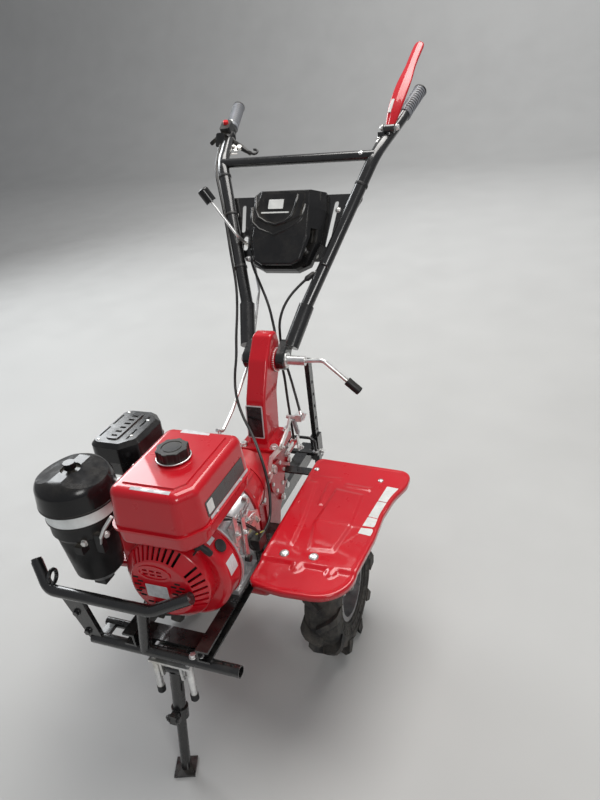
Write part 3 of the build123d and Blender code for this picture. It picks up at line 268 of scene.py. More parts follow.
class Value:
    """A number's shader socket. Arithmetic on it adds Math nodes."""

    def __init__(self, tree, socket):
        self.tree, self.socket = tree, socket

    def maths(self, operation, *values):
        """The result of a Math node on numbers and sockets."""
        return self.tree.node("ShaderNodeMath", {"operation": operation}, dict(enumerate(values)))

    def __add__(self, other):
        return self.maths("ADD", self, other)

    def __radd__(self, other):
        return self.maths("ADD", other, self)

    def __sub__(self, other):
        return self.maths("SUBTRACT", self, other)

    def __rsub__(self, other):
        return self.maths("SUBTRACT", other, self)

    def __mul__(self, other):
        return self.maths("MULTIPLY", self, other)

    def __rmul__(self, other):
        return self.maths("MULTIPLY", other, self)

    def __gt__(self, other):
        return self.maths("GREATER_THAN", self, other)

    def fit(self, low, high, to_low=0.0, to_high=1.0):
        """The value's range low to high laid on to_low to to_high, and held there outside it."""
        inputs = {"Value": self, "From Min": low, "From Max": high, "To Min": to_low, "To Max": to_high}
        return self.tree.node("ShaderNodeMapRange", {"clamp": True}, inputs)


class Tree:
    """The nodes of one material round a Principled shader."""

    def __init__(self, name, constants):
        self.material = bpy.data.materials.new(name)
        self.material.use_nodes = True
        self.nodes = self.material.node_tree.nodes
        self.links = self.material.node_tree.links
        self.nodes.clear()
        self.shader = self.nodes.new("ShaderNodeBsdfPrincipled")
        output = self.nodes.new("ShaderNodeOutputMaterial")
        self.links.new(self.shader.outputs[0], output.inputs[0])
        for socket, number in constants.items():
            self.put(self.shader, socket, number)

    def put(self, node, socket, value):
        """Sets a socket to a number, or links a value to it."""
        if isinstance(value, Value):
            self.links.new(value.socket, node.inputs[socket])
        else:
            node.inputs[socket].default_value = value

    def node(self, kind, settings=None, inputs=None, output=0):
        """Any node: its type, its settings, its sockets' values or links, and which output is wanted."""
        node = self.nodes.new(kind)
        for name, setting in (settings or {}).items():
            setattr(node, name, setting)
        for socket, value in (inputs or {}).items():
            self.put(node, socket, value)
        return Value(self, node.outputs[output])

    def place(self):
        """Coordinates that stay with the piece, in metres."""
        return self.node("ShaderNodeTexCoord", output="Object")

    def noise(self, scale, detail=3.0, rough=0.55, stretch=None):
        """Noise from 0 to 1 with so many features per metre."""
        spot = self.place()
        if stretch:
            spot = self.node("ShaderNodeMapping", None, {"Vector": spot, "Scale": stretch})
        inputs = {"Vector": spot, "Scale": scale, "Detail": detail, "Roughness": rough}
        return self.node("ShaderNodeTexNoise", {"noise_dimensions": "3D"}, inputs, "Fac")

    def mix(self, factor, first, second):
        """A colour between two colours."""
        inputs = {0: factor, 6: first, 7: second}
        return self.node("ShaderNodeMix", {"data_type": "RGBA"}, inputs, 2)

    def clouded(self, colour, scale, detail, dark, light, low=0.3):
        """The colour in clouds between a darker and a lighter share of it."""
        return self.mix(self.noise(scale, detail).fit(low, 0.7), opaque(colour, dark), opaque(colour, light))

    def settled(self, scale, low, high, share):
        """Mask of the dust that lies in patches on faces that look up."""
        return self.upward() * self.noise(scale, 6.0, 0.7).fit(low, high) * share

    def edges(self, width):
        """Mask that is 1 on sharp outer and inner edges and 0 on flat faces."""
        normal = self.node("ShaderNodeNewGeometry", output="Normal")
        soft = self.node("ShaderNodeBevel", {"samples": 6}, {"Radius": width})
        along = self.node("ShaderNodeVectorMath", {"operation": "DOT_PRODUCT"}, {0: normal, 1: soft}, "Value")
        return (1.0 - along).fit(0.01, 0.2)

    def hollows(self, reach):
        """Mask that is 1 in tight hollows and 0 on open faces."""
        settings = {"samples": 6, "only_local": False}
        shade = self.node("ShaderNodeAmbientOcclusion", settings, {"Distance": reach}, "AO")
        return shade.fit(0.25, 0.9, 1.0, 0.0)

    def upward(self):
        """Mask that is 1 where a face looks up."""
        normal = self.node("ShaderNodeNewGeometry", output="Normal")
        return self.node("ShaderNodeSeparateXYZ", None, {0: normal}, "Z").fit(0.3, 0.95)

    def height(self):
        """Height above the floor, in metres."""
        return self.node("ShaderNodeSeparateXYZ", None, {0: self.place()}, "Z")

    def bump(self, height, distance, strength=1.0, under=None):
        """A relief of so many metres."""
        inputs = {"Height": height, "Distance": distance, "Strength": strength}
        if under:
            inputs["Normal"] = under
        return self.node("ShaderNodeBump", None, inputs)

    def finish(self, **sockets):
        """Links what varies to the shader: colour, roughness, metallic, normal."""
        names = {"colour": "Base Color", "roughness": "Roughness", "metallic": "Metallic", "normal": "Normal"}
        for name, value in sockets.items():
            self.put(self.shader, names[name], value)
        return self.material


DUST = (0.30, 0.27, 0.22, 1.0)
BARE_STEEL = (0.22, 0.21, 0.2, 1.0)
WORN_BRIGHT = (0.8, 0.8, 0.8, 1.0)
# Near-black of an oily stain and of painted shade in the hollows of raw alloy
OIL_AND_SHADE = (0.05, 0.045, 0.04, 1.0)
# Near-black of grime and of painted shade in the hollows of zinc plate
GRIME_AND_SHADE = (0.06, 0.05, 0.045, 1.0)
PASSIVATION = (0.62, 0.56, 0.38, 1.0)


def opaque(colour, share=1.0):
    """A colour with alpha, made lighter or darker by share."""
    return (*[min(1.0, c * share) for c in colour[:3]], 1.0)


def gloss_paint(name, colour, dust=0.06, grain=0.8):
    """Glossy stove enamel: orange peel, slight clouding, dust that settles on flat tops."""
    t = Tree(name, {"Coat Weight": 0.8, "Coat Roughness": 0.04, "IOR": 1.35})
    base = t.clouded(colour, 7.0, 4.0, 0.92, 1.04)
    settled = t.settled(16.0, 0.5, 0.85, dust)
    base = t.mix(settled, base, DUST)
    specks = (t.noise(420.0, 2.0) > 0.74) * t.upward() * 0.12
    base = t.mix(specks, base, DUST)
    peel = t.bump(t.noise(520.0, 2.0), 0.00010 * grain, 0.35)
    wave = t.bump(t.noise(38.0, 2.0), 0.0007 * grain, 0.25, peel)
    rough = t.noise(22.0, 5.0).fit(0.3, 0.75, 0.26, 0.36) + settled * 0.5
    return t.finish(colour=base, roughness=rough, normal=wave)


def cast_paint(name, colour):
    """The same enamel on sand castings, whose grain shows through."""
    t = Tree(name, {"Coat Weight": 0.45, "Coat Roughness": 0.14, "IOR": 1.5})
    base = t.clouded(colour, 12.0, 5.0, 0.72, 1.0)
    # Painted shade: the enamel darkened towards near-black in the hollows that ambient occlusion finds, in
    # noisy patches
    dirt_and_shade = t.hollows(0.02) * t.noise(35.0, 5.0).fit(0.3, 0.65)
    settled = t.settled(20.0, 0.45, 0.8, 0.22)
    base = t.mix(dirt_and_shade * 0.55, base, opaque(colour, 0.12))
    base = t.mix(settled, base, DUST)
    pits = t.bump(t.noise(260.0, 6.0, 0.65), 0.0009, 0.5)
    swell = t.bump(t.noise(40.0, 3.0), 0.0016, 0.35, pits)
    rough = t.noise(60.0, 4.0).fit(0.3, 0.75, 0.30, 0.48) + settled * 0.4
    return t.finish(colour=base, roughness=rough, normal=swell)


def tube_paint(name, colour):
    """Black stove paint on tubes and plates: satin, scuffed along its edges, dusty low down."""
    t = Tree(name, {"Coat Weight": 0.9, "Coat Roughness": 0.07, "IOR": 1.45})
    base = t.clouded(colour, 24.0, 4.0, 0.6, 1.0)
    low = t.height().fit(0.0, 0.5, 1.0, 0.25)
    dust = t.noise(30.0, 6.0, 0.7).fit(0.42, 0.85) * (t.upward() * 0.6 + 0.1) * low * 0.3
    scuff = t.edges(0.0012) * t.noise(140.0, 4.0).fit(0.52, 0.66)
    base = t.mix(dust, base, DUST)
    base = t.mix(scuff * 0.6, base, BARE_STEEL)
    peel = t.bump(t.noise(600.0, 2.0), 0.00012, 0.4)
    rough = t.noise(50.0, 4.0).fit(0.3, 0.75, 0.22, 0.36) + dust * 0.7
    return t.finish(colour=base, roughness=rough, metallic=scuff * 0.6, normal=peel)


def moulded_plastic(name, colour, gloss=0.5, grain=0.00012, dust=0.2):
    """Moulded plastic with a fine spark-eroded grain and dust in its corners."""
    t = Tree(name, {"IOR": 1.46})
    base = t.clouded(colour, 18.0, 4.0, 0.85, 1.25)
    dirt_and_shade = t.hollows(0.010) * t.noise(40.0, 5.0).fit(0.3, 0.7) * 0.4
    settled = t.settled(24.0, 0.4, 0.8, dust)
    base = t.mix(dirt_and_shade + settled, base, DUST)
    worn = t.edges(0.0010) * 0.25
    base = t.mix(worn, base, opaque([c + 0.06 for c in colour[:3]], 1.6))
    relief = t.bump(t.noise(900.0, 3.0, 0.7), grain, 0.6)
    rough = t.noise(40.0, 4.0).fit(0.3, 0.7, gloss - 0.08, gloss + 0.08) + settled * 0.5
    return t.finish(colour=base, roughness=rough, normal=relief)


def cast_metal(name, colour):
    """Raw die-cast alloy: fine pits, grey bloom, a dark oily stain and painted shade in the hollows."""
    t = Tree(name, {"IOR": 1.5})
    base = t.clouded(colour, 26.0, 5.0, 0.8, 1.1)
    # Oily stain and painted shade: near-black and less metallic in the hollows that ambient occlusion finds
    oil_and_shade = t.hollows(0.012) * t.noise(22.0, 5.0).fit(0.35, 0.75)
    base = t.mix(oil_and_shade * 0.5, base, OIL_AND_SHADE)
    bright = t.edges(0.0010) * 0.5
    base = t.mix(bright, base, WORN_BRIGHT)
    pits = t.bump(t.noise(420.0, 6.0, 0.7), 0.00045, 0.55)
    rough = t.noise(70.0, 4.0).fit(0.3, 0.7, 0.36, 0.56) - bright * 0.15
    return t.finish(colour=base, roughness=rough, metallic=0.85 - oil_and_shade * 0.5, normal=pits)


def zinc_plate(name, colour):
    """Zinc plated steel: bright, with soft cloudy bloom and fine drawing lines."""
    t = Tree(name, {"IOR": 2.0})
    bloom = t.noise(60.0, 5.0, 0.65)
    base = t.mix(bloom.fit(0.35, 0.7), opaque(colour, 0.75), opaque(colour, 1.1))
    base = t.mix(t.noise(14.0, 3.0).fit(0.5, 0.75) * 0.3, base, PASSIVATION)
    # Grime and painted shade: near-black and less metallic in the hollows that ambient occlusion finds
    dirt_and_shade = t.hollows(0.006) * 0.55
    base = t.mix(dirt_and_shade, base, GRIME_AND_SHADE)
    lines = t.bump(t.noise(300.0, 3.0, 0.6, (1.0, 6.0, 1.0)), 0.00006, 0.5)
    rough = bloom.fit(0.3, 0.75, 0.26, 0.44)
    return t.finish(colour=base, roughness=rough, metallic=0.88 - dirt_and_shade * 0.5, normal=lines)


def tyre_rubber(name, colour):
    """Black tyre rubber: mould lines, grey bloom, floor dust worked into the tread."""
    t = Tree(name, {"IOR": 1.5})
    base = t.clouded(colour, 30.0, 5.0, 0.7, 1.9)
    base = t.mix(t.noise(24.0, 6.0, 0.7).fit(0.38, 0.8) * 0.34, base, DUST)
    relief = t.bump(t.noise(700.0, 4.0, 0.7), 0.00022, 0.6)
    return t.finish(colour=base, roughness=t.noise(60.0, 4.0).fit(0.3, 0.7, 0.62, 0.84), normal=relief)


def dark_inside(name):
    """Near-black painted shade that stands for the spaces behind grilles and inside holes."""
    t = Tree(name, {"IOR": 1.4})
    base = t.mix(t.noise(40.0), (0.004, 0.004, 0.004, 1.0), (0.014, 0.013, 0.012, 1.0))
    return t.finish(colour=base, roughness=t.noise(60.0).fit(0.3, 0.7, 0.6, 0.85))


def bare_label(name, colour, gloss=0.25):
    """A blank plate or sticker with a slightly worn face."""
    t = Tree(name, {"IOR": 1.5, "Coat Weight": 0.5, "Coat Roughness": 0.1})
    base = t.clouded(colour, 50.0, 5.0, 0.88, 1.06, 0.35)
    relief = t.bump(t.noise(300.0, 3.0), 0.00008, 0.4)
    rough = t.noise(80.0).fit(0.3, 0.7, gloss - 0.06, gloss + 0.1)
    return t.finish(colour=base, roughness=rough, normal=relief)


def pale_floor(name, colour):
    """Plain pale floor with the faintest mottling."""
    t = Tree(name, {"IOR": 1.45})
    base = t.clouded(colour, 3.0, 6.0, 0.97, 1.03)
    relief = t.bump(t.noise(60.0, 4.0), 0.0004, 0.2)
    return t.finish(colour=base, roughness=t.noise(6.0).fit(0.3, 0.7, 0.5, 0.62), normal=relief)


FINISHES = {}


def make_finishes(chosen):
    """One material for each slot of the record, and for the small pieces' own finishes."""
    red, black = chosen.red, chosen.black
    FINISHES.update({
        "red_paint": gloss_paint("Red enamel", red),
        "red_casting": cast_paint("Red enamel on castings", red),
        "red_plastic": gloss_paint("Red plastic", red, 0.06, 0.5),
        "black_paint": tube_paint("Black stove paint", black),
        "black_plastic": moulded_plastic("Black plastic", black, 0.42),
        "gloss_black": moulded_plastic("Polished black plastic", black, 0.2, 0.00003, 0.1),
        "white_plastic": moulded_plastic("Milky plastic", (0.72, 0.75, 0.74), 0.34, 0.00004, 0.25),
        "grey_plastic": moulded_plastic("Grey grip plastic", (0.20, 0.21, 0.23), 0.24, 0.00003, 0.08),
        "cast_alloy": cast_metal("Raw alloy", (0.74, 0.74, 0.75)),
        "zinc_steel": zinc_plate("Zinc plate", (0.86, 0.86, 0.85)),
        "grey_steel": zinc_plate("Grey steel", (0.34, 0.34, 0.35)),
        "tyre_rubber": tyre_rubber("Tyre rubber", chosen.rubber),
        "cable_sheath": moulded_plastic("Cable sheath", black, 0.34, 0.00003, 0.1),
        "dark_inside": dark_inside("Dark inside"),
        "silver_label": bare_label("Silver label", (0.62, 0.63, 0.64)),
        "black_label": bare_label("Black label", (0.012, 0.012, 0.013), 0.2),
        "pale_label": bare_label("Pale label", (0.68, 0.69, 0.67), 0.3),
        "yellow_tag": bare_label("Yellow tag", (0.55, 0.62, 0.10), 0.35),
        "black_steel": tube_paint("Blackened steel", (0.02, 0.02, 0.021)),
        "spring_steel": zinc_plate("Spring steel", (0.42, 0.42, 0.43)),
        "red_switch": gloss_paint("Red switch", (0.62, 0.01, 0.012), 0.05, 0.3),
        "black_rubber": moulded_plastic("Black rubber", (0.011, 0.011, 0.012), 0.5, 0.0001, 0.25),
        "floor": pale_floor("Pale floor", chosen.floor),
    })


CASTINGS = ("gearbox", "bell_housing")
GLOSSY = ("air_cleaner_lid", "muffler_shield", "console_cover", "shift_knob")


class WeederSizes(bpy.types.PropertyGroup):
    """Colours and small sizes of the weeder's dressing."""
    red: bpy.props.FloatVectorProperty(
        name="Red", description="Colour of the enamel", default=(0.50, 0.0015, 0.010), subtype="COLOR",
        min=0, max=1)
    black: bpy.props.FloatVectorProperty(
        name="Black", description="Colour of the black paint and plastic", default=(0.008, 0.008, 0.0085),
        subtype="COLOR", min=0, max=1)
    rubber: bpy.props.FloatVectorProperty(
        name="Rubber", description="Colour of the tyres", default=(0.010, 0.010, 0.0105), subtype="COLOR",
        min=0, max=1)
    floor: bpy.props.FloatVectorProperty(
        name="Floor", description="Colour of the floor", default=(0.47, 0.47, 0.46), subtype="COLOR",
        min=0, max=1)
    edge: bpy.props.FloatProperty(
        name="Edge", description="Rounding of the solids' sharp edges", default=0.0007, unit="LENGTH")


class StageSizes(bpy.types.PropertyGroup):
    """The camera of the photograph."""
    focal: bpy.props.FloatProperty(
        name="Focal length", description="In pixels of the 600 by 800 image", default=660.0)
    nadir: bpy.props.FloatVectorProperty(
        name="Nadir", description="Pixel in which upright lines meet", default=(450.0, 1660.0), size=2)
    yaw: bpy.props.FloatProperty(
        name="Yaw", description="Turn of the view from the machine's length", default=radians(23.4),
        subtype="ANGLE")
    eye: bpy.props.FloatVectorProperty(
        name="Eye", description="Camera's place", default=(0.682, -1.362, 1.350), subtype="TRANSLATION",
        unit="LENGTH")


def sizes():
    """The dressing's sizes and colours."""
    return bpy.context.scene.weeder_sizes


class WEEDER_OT_finish_solids(bpy.types.Operator):
    """Gives every solid its finish and a small rounding of its edges"""
    bl_idname = "weeder.finish_solids"
    bl_label = "Finish solids"

    def execute(self, context):
        make_finishes(sizes())
        slots = {part["node"]: part["material_slot"] for part in RECORD["subparts"]}
        slots.update(dict.fromkeys(GLOSSY, "gloss_black"))
        for name, node in frame["nodes"].items():
            finish = "red_casting" if name in CASTINGS else slots[name]
            material = FINISHES[finish]
            for slot in node.material_slots:
                slot.material = material
            if not node.material_slots:
                node.data.materials.append(material)
            round_edges(node, sizes().edge, 40)
        return {"FINISHED"}


IMAGE = (600.0, 800.0)
SENSOR = 36.0


def photo_camera(stage):
    """Matrix of the photograph's camera from its focal length, nadir, yaw and place."""
    down = Vector((stage.nadir[0] - IMAGE[0] / 2, stage.nadir[1] - IMAGE[1] / 2, stage.focal)).normalized()
    ahead = (Vector(UP) - down * down.z).normalized()
    right = down.cross(ahead)
    y_axis = ahead * cos(stage.yaw) + right * sin(stage.yaw)
    x_axis = right * cos(stage.yaw) - ahead * sin(stage.yaw)
    world = Matrix((x_axis, y_axis, -down))
    columns = [world @ Vector(axis) for axis in ((1, 0, 0), (0, -1, 0), (0, 0, -1))]
    return Matrix.Translation(stage.eye) @ Matrix(columns).transposed().to_4x4()


def lamp(name, place, target, size, watts, colour):
    """A square soft light that looks at a point."""
    light = bpy.data.lights.new(name, "AREA")
    light.energy, light.size, light.color = watts, size, colour
    holder = linked(name, light)
    holder.location = place
    holder.rotation_euler = (Vector(target) - Vector(place)).to_track_quat("-Z", "Y").to_euler()


def both(*points):
    """The points and their mirror images on the machine's other side."""
    return [(x * side, y, z) for x, y, z in points for side in SIDES]


def ringed(middle, axis, radius, count, start=0.0):
    """Points evenly round a middle, in the plane square to the X or the Y axis."""
    x, y, z = middle
    spots = [(radius * cos(a), radius * sin(a)) for a in turns(count, start)]
    return [(x, y + a, z + b) if axis == "x" else (x + a, y, z + b) for a, b in spots]


def on_cylinder(x, y, along):
    """A point of the inclined engine cylinder's own frame in the drawing."""
    tilt = radians(CYLINDER_TILT)
    return (x * sin(tilt) - along * cos(tilt), CYLINDER_Y + y, CRANK_Z + x * cos(tilt) + along * sin(tilt))


def on_stand(x, y, z):
    """A point of the stand's own frame, which hangs from its pin, in the drawing."""
    tilt = radians(STAND_TILT)
    return (x, STAND_PIN[1] + y * cos(tilt) + z * sin(tilt), STAND_PIN[2] - y * sin(tilt) + z * cos(tilt))


def on_console(x, up, out=0.0):
    """A point of the console plate's front face in the drawing: across, up the slope, out of the plate."""
    foot, slope, normal = Vector(CONSOLE_TOP), Vector(CONSOLE_SLOPE), Vector(CONSOLE_NORMAL)
    return tuple(foot + Vector((x, 0, 0)) + slope * up + normal * (out - 16))


CRANK_Z, CYLINDER_Y, CYLINDER_TILT = 455.0, -185.0, 25.0
SHROUD = (14.0, 449.0)
COVER_FACE_Y = -378.05
AXLE_Z, WHEEL_X = 170.0, 225.0
STAND_PIN, STAND_TILT = (0.0, -400.0, 258.0), 11.0
PIVOT = (0.0, 226.0, 674.0)
BAIL_X = 42.0
AIR_CLEANER = (-206.0, -309.0)
CONSOLE_TOP = (0.0, 512.47, 1023.17)
CONSOLE_SLOPE, CONSOLE_NORMAL = (0.0, 0.60023, 0.79983), (0.0, -0.79983, 0.60023)

# Fasteners of the machine: shape, thread or head radius, the way they face, where they sit
MACHINE_FASTENERS = (
    ("bolt", 10, UP, both((42, 114, 480), (42, 204, 480))),
    ("plain bolt", 6, REAR, ringed((0, -105, CRANK_Z), "y", 86, 8, pi / 8)),
    ("plain bolt", 7, UP, both((88.5, -245, 357), (88.5, -150, 357))),
    ("bolt", 8, UP, [(56, -405, 312.5), (74, -405, 312.5)]),
    ("bolt", 10, FRONT, [(40, -272, 366)]),
    ("plain bolt", 6, LEFT, [(96, -234, 452), (96, -128, 452)]),
    ("bolt", 12, LEFT, [(56, 60, 452)]),
    ("bolt", 12, RIGHT, [(-56, 60, 452)]),
    ("dome", 11, UP, both((165, -157, 390), (232, -153, 390))),
    ("dome", 7, UP, both((129, 169, 390), (304, 152, 390))),
    ("dome", 4, UP, [(-284, -126, 615), (-284, 2, 615), (-212, -98, 615), (-212, -26, 615)]),
)
# Bolts that stand the same on both sides of the case: thread, distance from the middle, places as y and z
CASE_BOLTS = (
    (8, 47, ((-34, 262), (-31, 322), (2, 400), (62, 266), (112, 330), (180, 404), (180, 448))),
    (6, 49, [(y, z) for _, y, z in ringed((0, 99, 404), "x", 36, 6)]),
    (6, 50, [(y, z) for _, y, z in ringed((0, 0, AXLE_Z), "x", 46, 6, pi / 6)]),
    (10, 30, ((140, 312), (176, 324))),
)


class WEEDER_OT_fasteners(bpy.types.Operator):
    """Bolts, nuts, washers and rivets of the machine, the stand and the handlebar"""
    bl_idname = "weeder.fasteners"
    bl_label = "Fasteners"

    def execute(self, context):
        zinc = Form().fasten(MACHINE_FASTENERS)
        for thread_size, reach, places in CASE_BOLTS:
            for side in SIDES:
                for y, z in places:
                    zinc.bolt((side * reach, y, z), (side, 0, 0), thread_size, washer=thread_size > 6)
        along = Vector(on_cylinder(0, 0, 1)) - Vector(on_cylinder(0, 0, 0))
        cover_bolts = [on_cylinder(x, y, 214) for x in (-26, 26) for y in (-34, 34)]
        zinc.fasten([("plain bolt", 6, along, cover_bolts)]).place("machine_bolts", "zinc_steel")
        pin = Form()
        _, pin_y, pin_z = STAND_PIN
        for side in SIDES:
            pin.turned((side * 27, pin_y, pin_z), (side, 0, 0), [(0, 12), (2, 12)])
            pin.bar([(side * 31, pin_y - 8, pin_z + 7), (side * 31, pin_y + 7, pin_z - 8)], 1.3, 8)
        pin.place("stand_pin_washers", "zinc_steel")
        clamp = Form().bolt(on_stand(8, -25, -110), LEFT, 8)
        clamp.bolt(on_stand(-8, -25, -110), RIGHT, 8, stud=4)
        clamp.place("stand_clamp_bolt", "black_steel", "stand")
        bar = Form()
        for x, up in ((-163, -48), (132, -40), (86, -165), (-107, -172)):
            bar.turned(on_console(x, up), CONSOLE_NORMAL, [(-0.5, 8), (1.2, 8)])
            bar.dome(on_console(x, up, 1.2), CONSOLE_NORMAL, 6)
        bar.dome((184, 562.5, 1111), (0, -0.7, 0.7), 6)
        bar.bolt((262, 640, 1158), LEFT, 8)
        bar.bolt((226, 640, 1158), RIGHT, 8, stud=3)
        bar.turned((57, *PIVOT[1:]), LEFT, [(-0.4, 20), (2.2, 20), (2.6, 19)])
        bar.turned((-57, *PIVOT[1:]), RIGHT, [(-0.4, 17), (2.2, 17), (2.6, 16)])
        bar.place("handlebar_bolts", "zinc_steel", "handlebar")
        return {"FINISHED"}


class WEEDER_OT_grips(bpy.types.Operator):
    """Ribbed grips with three plain bands, a flange at each end and a dark core between the ribs"""
    bl_idname = "weeder.grips"
    bl_label = "Grips"

    sides, step = 72, 0.9
    collar, neck, end_flange = 5, 9, 6
    rib_pitch, rib_width = 10.4, 5.9
    flange_radius, neck_radius, rib_radius, core_radius, tip_radius = 18.9, 17.4, 18.5, 15.4, 17.0
    bands, band_half = (pi / 2, pi * 7 / 6, pi * 11 / 6), 0.24

    def radius(self, along, length, angle):
        """The grip's radius at a distance along it and an angle round it."""
        if along < self.collar or along > length - self.end_flange:
            return self.flange_radius
        if along < self.neck:
            return self.neck_radius
        rib = (along - self.neck) % self.rib_pitch < self.rib_width
        band = min(abs((angle - b + pi) % (2 * pi) - pi) for b in self.bands) < self.band_half
        return self.rib_radius if band or rib else self.core_radius

    def execute(self, context):
        for name, side in (("grip_left", 1), ("grip_right", -1)):
            foot, tip = Vector((side * 256.5, 726.5, 1170)), Vector((side * 281, 853, 1224))
            foot = foot.lerp(tip, 0.12)
            way = (tip - foot).normalized()
            out = spokes(way, self.sides)
            length = (tip - foot).length + 4
            form = Form()
            rings, along = [], 0.0
            while along < length - 1:
                rings.append(form.loop([foot + way * along + spoke * self.radius(along, length, angle)
                                        for spoke, angle in zip(out, turns(self.sides))]))
                along += self.step
            rings.append(form.loop([foot + way * length + spoke * self.tip_radius for spoke in out]))
            piece = form.skin(rings).place(f"{name}_ribbed", "grey_plastic", "handlebar", edge=0)
            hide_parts(name)
            profile = [(17 - length, 17.7), (-0.1, 17.7), (0, 18.96), (5.6, 18.96), (7, 17.6), (7.3, 9),
                       (7.3, 3)]
            cap = Form().turned(foot + way * (length - 7), way, profile, 48)
            cap.place(f"{name}_end_cap", "black_rubber", "handlebar")
        return {"FINISHED"}


class WEEDER_OT_wheels(bpy.types.Operator):
    """Wheel nuts, valves, linch pins and the rings moulded on the tyres' side walls"""
    bl_idname = "weeder.wheels"
    bl_label = "Wheels"

    valve_angle = 1.1
    # Rings on a tyre's side wall: radius, distance from the tyre's middle, thickness
    wall_rings = ((92, 34.0, 1.6), (99, 38.4, 1.0), (117, 42.8, 1.2), (86.5, 32.6, 1.4))

    def execute(self, context):
        for name, side in (("left", 1), ("right", -1)):
            body, outward = f"wheel_{name}", (side, 0, 0)
            steel = Form()
            for face in (1, -1):
                for a in turns(4):
                    spot = (side * WHEEL_X + side * face * 2.5, 33 * cos(a), AXLE_Z + 33 * sin(a))
                    steel.bolt(spot, (side * face, 0, 0), 8, stud=4 if face > 0 else 0)
            x = side * (WHEEL_X + 11)
            steel.bar([(x, 0, AXLE_Z + 30), (x, 0, AXLE_Z - 30)], 3.5)
            steel.hoop((x + side * 5, 0, AXLE_Z + 8), (0.4, 1, 0), 24, 1.5)
            steel.turned((x, 0, AXLE_Z + 26), UP, [(0, 7), (6, 7)])
            steel.turned((side * (WHEEL_X + 24.5), 0, AXLE_Z), outward, [(-0.5, 9), (1.2, 9), (1.6, 8)])
            steel.place(f"wheel_fittings_{name}", "zinc_steel", body)
            valve = Form()
            rise = Vector((0, cos(self.valve_angle), sin(self.valve_angle)))
            foot = Vector((side * (WHEEL_X + 8), 0, AXLE_Z)) + rise * 70
            way = Vector((side * 0.75, 0, 0)) - rise * 0.5
            valve.turned(foot, way, [(-6, 5), (4, 4.5), (10, 3.2), (22, 3.2)], 16)
            valve.turned(foot + way.normalized() * 22, way, [(0, 4), (8, 4), (9, 3)], 12)
            valve.place(f"tyre_valve_{name}", "black_rubber", body)
            walls = Form()
            for face in (1, -1):
                for radius, out, thick in self.wall_rings:
                    walls.hoop((side * WHEEL_X + face * out, 0, AXLE_Z), LEFT, radius, thick, 72)
                for a in turns(36):
                    lean = Vector((0, cos(a), sin(a)))
                    low = Vector((side * WHEEL_X + face * 41.0, 0, AXLE_Z)) + lean * 104
                    walls.bar([low, low + lean * 9 + Vector((face, 0, 0))], 1.1, 6)
            walls.place(f"tyre_side_rings_{name}", "tyre_rubber", body, edge=0)
        return {"FINISHED"}


def drum_sheet(form, middle, radius, angles, depth, thick, rows=8):
    """Thin plate that hugs a drum about a Y axis, between two angles and two stations along it."""
    corners = ((radius, depth[0]), (radius + thick, depth[0]), (radius + thick, depth[1]), (radius, depth[1]))
    grid = []
    for k in range(rows + 1):
        a = angles[0] + (angles[1] - angles[0]) * k / rows
        grid.append(form.loop([(middle[0] + r * cos(a), y, middle[1] + r * sin(a)) for r, y in corners]))
    form.skin(grid)


TANK_SIDE_UP = (-0.0875, 0, 1)
# Blank flat plates: finish, name, middle, right, up, width, height, corner radius
LABELS = (
    ("silver_label", "tank_label_rear", (10, -172, 688.6), (0.99, -0.11, 0), (0.11, 0.99, 0), 66, 17, 2),
    ("black_label", "tank_side_plate", (112.9, -258, 633), REAR, TANK_SIDE_UP, 158, 33, 3),
    ("pale_label", "tank_side_square", (113.3, -322, 633), REAR, TANK_SIDE_UP, 22, 24, 2),
    ("silver_label", "recoil_badge", (-11, -379.1, 446), LEFT, UP, 50, 32, 2),
    ("silver_label", "tank_side_stripe", (114.9, -249, 611.5), REAR, TANK_SIDE_UP, 164, 7, 2),
)


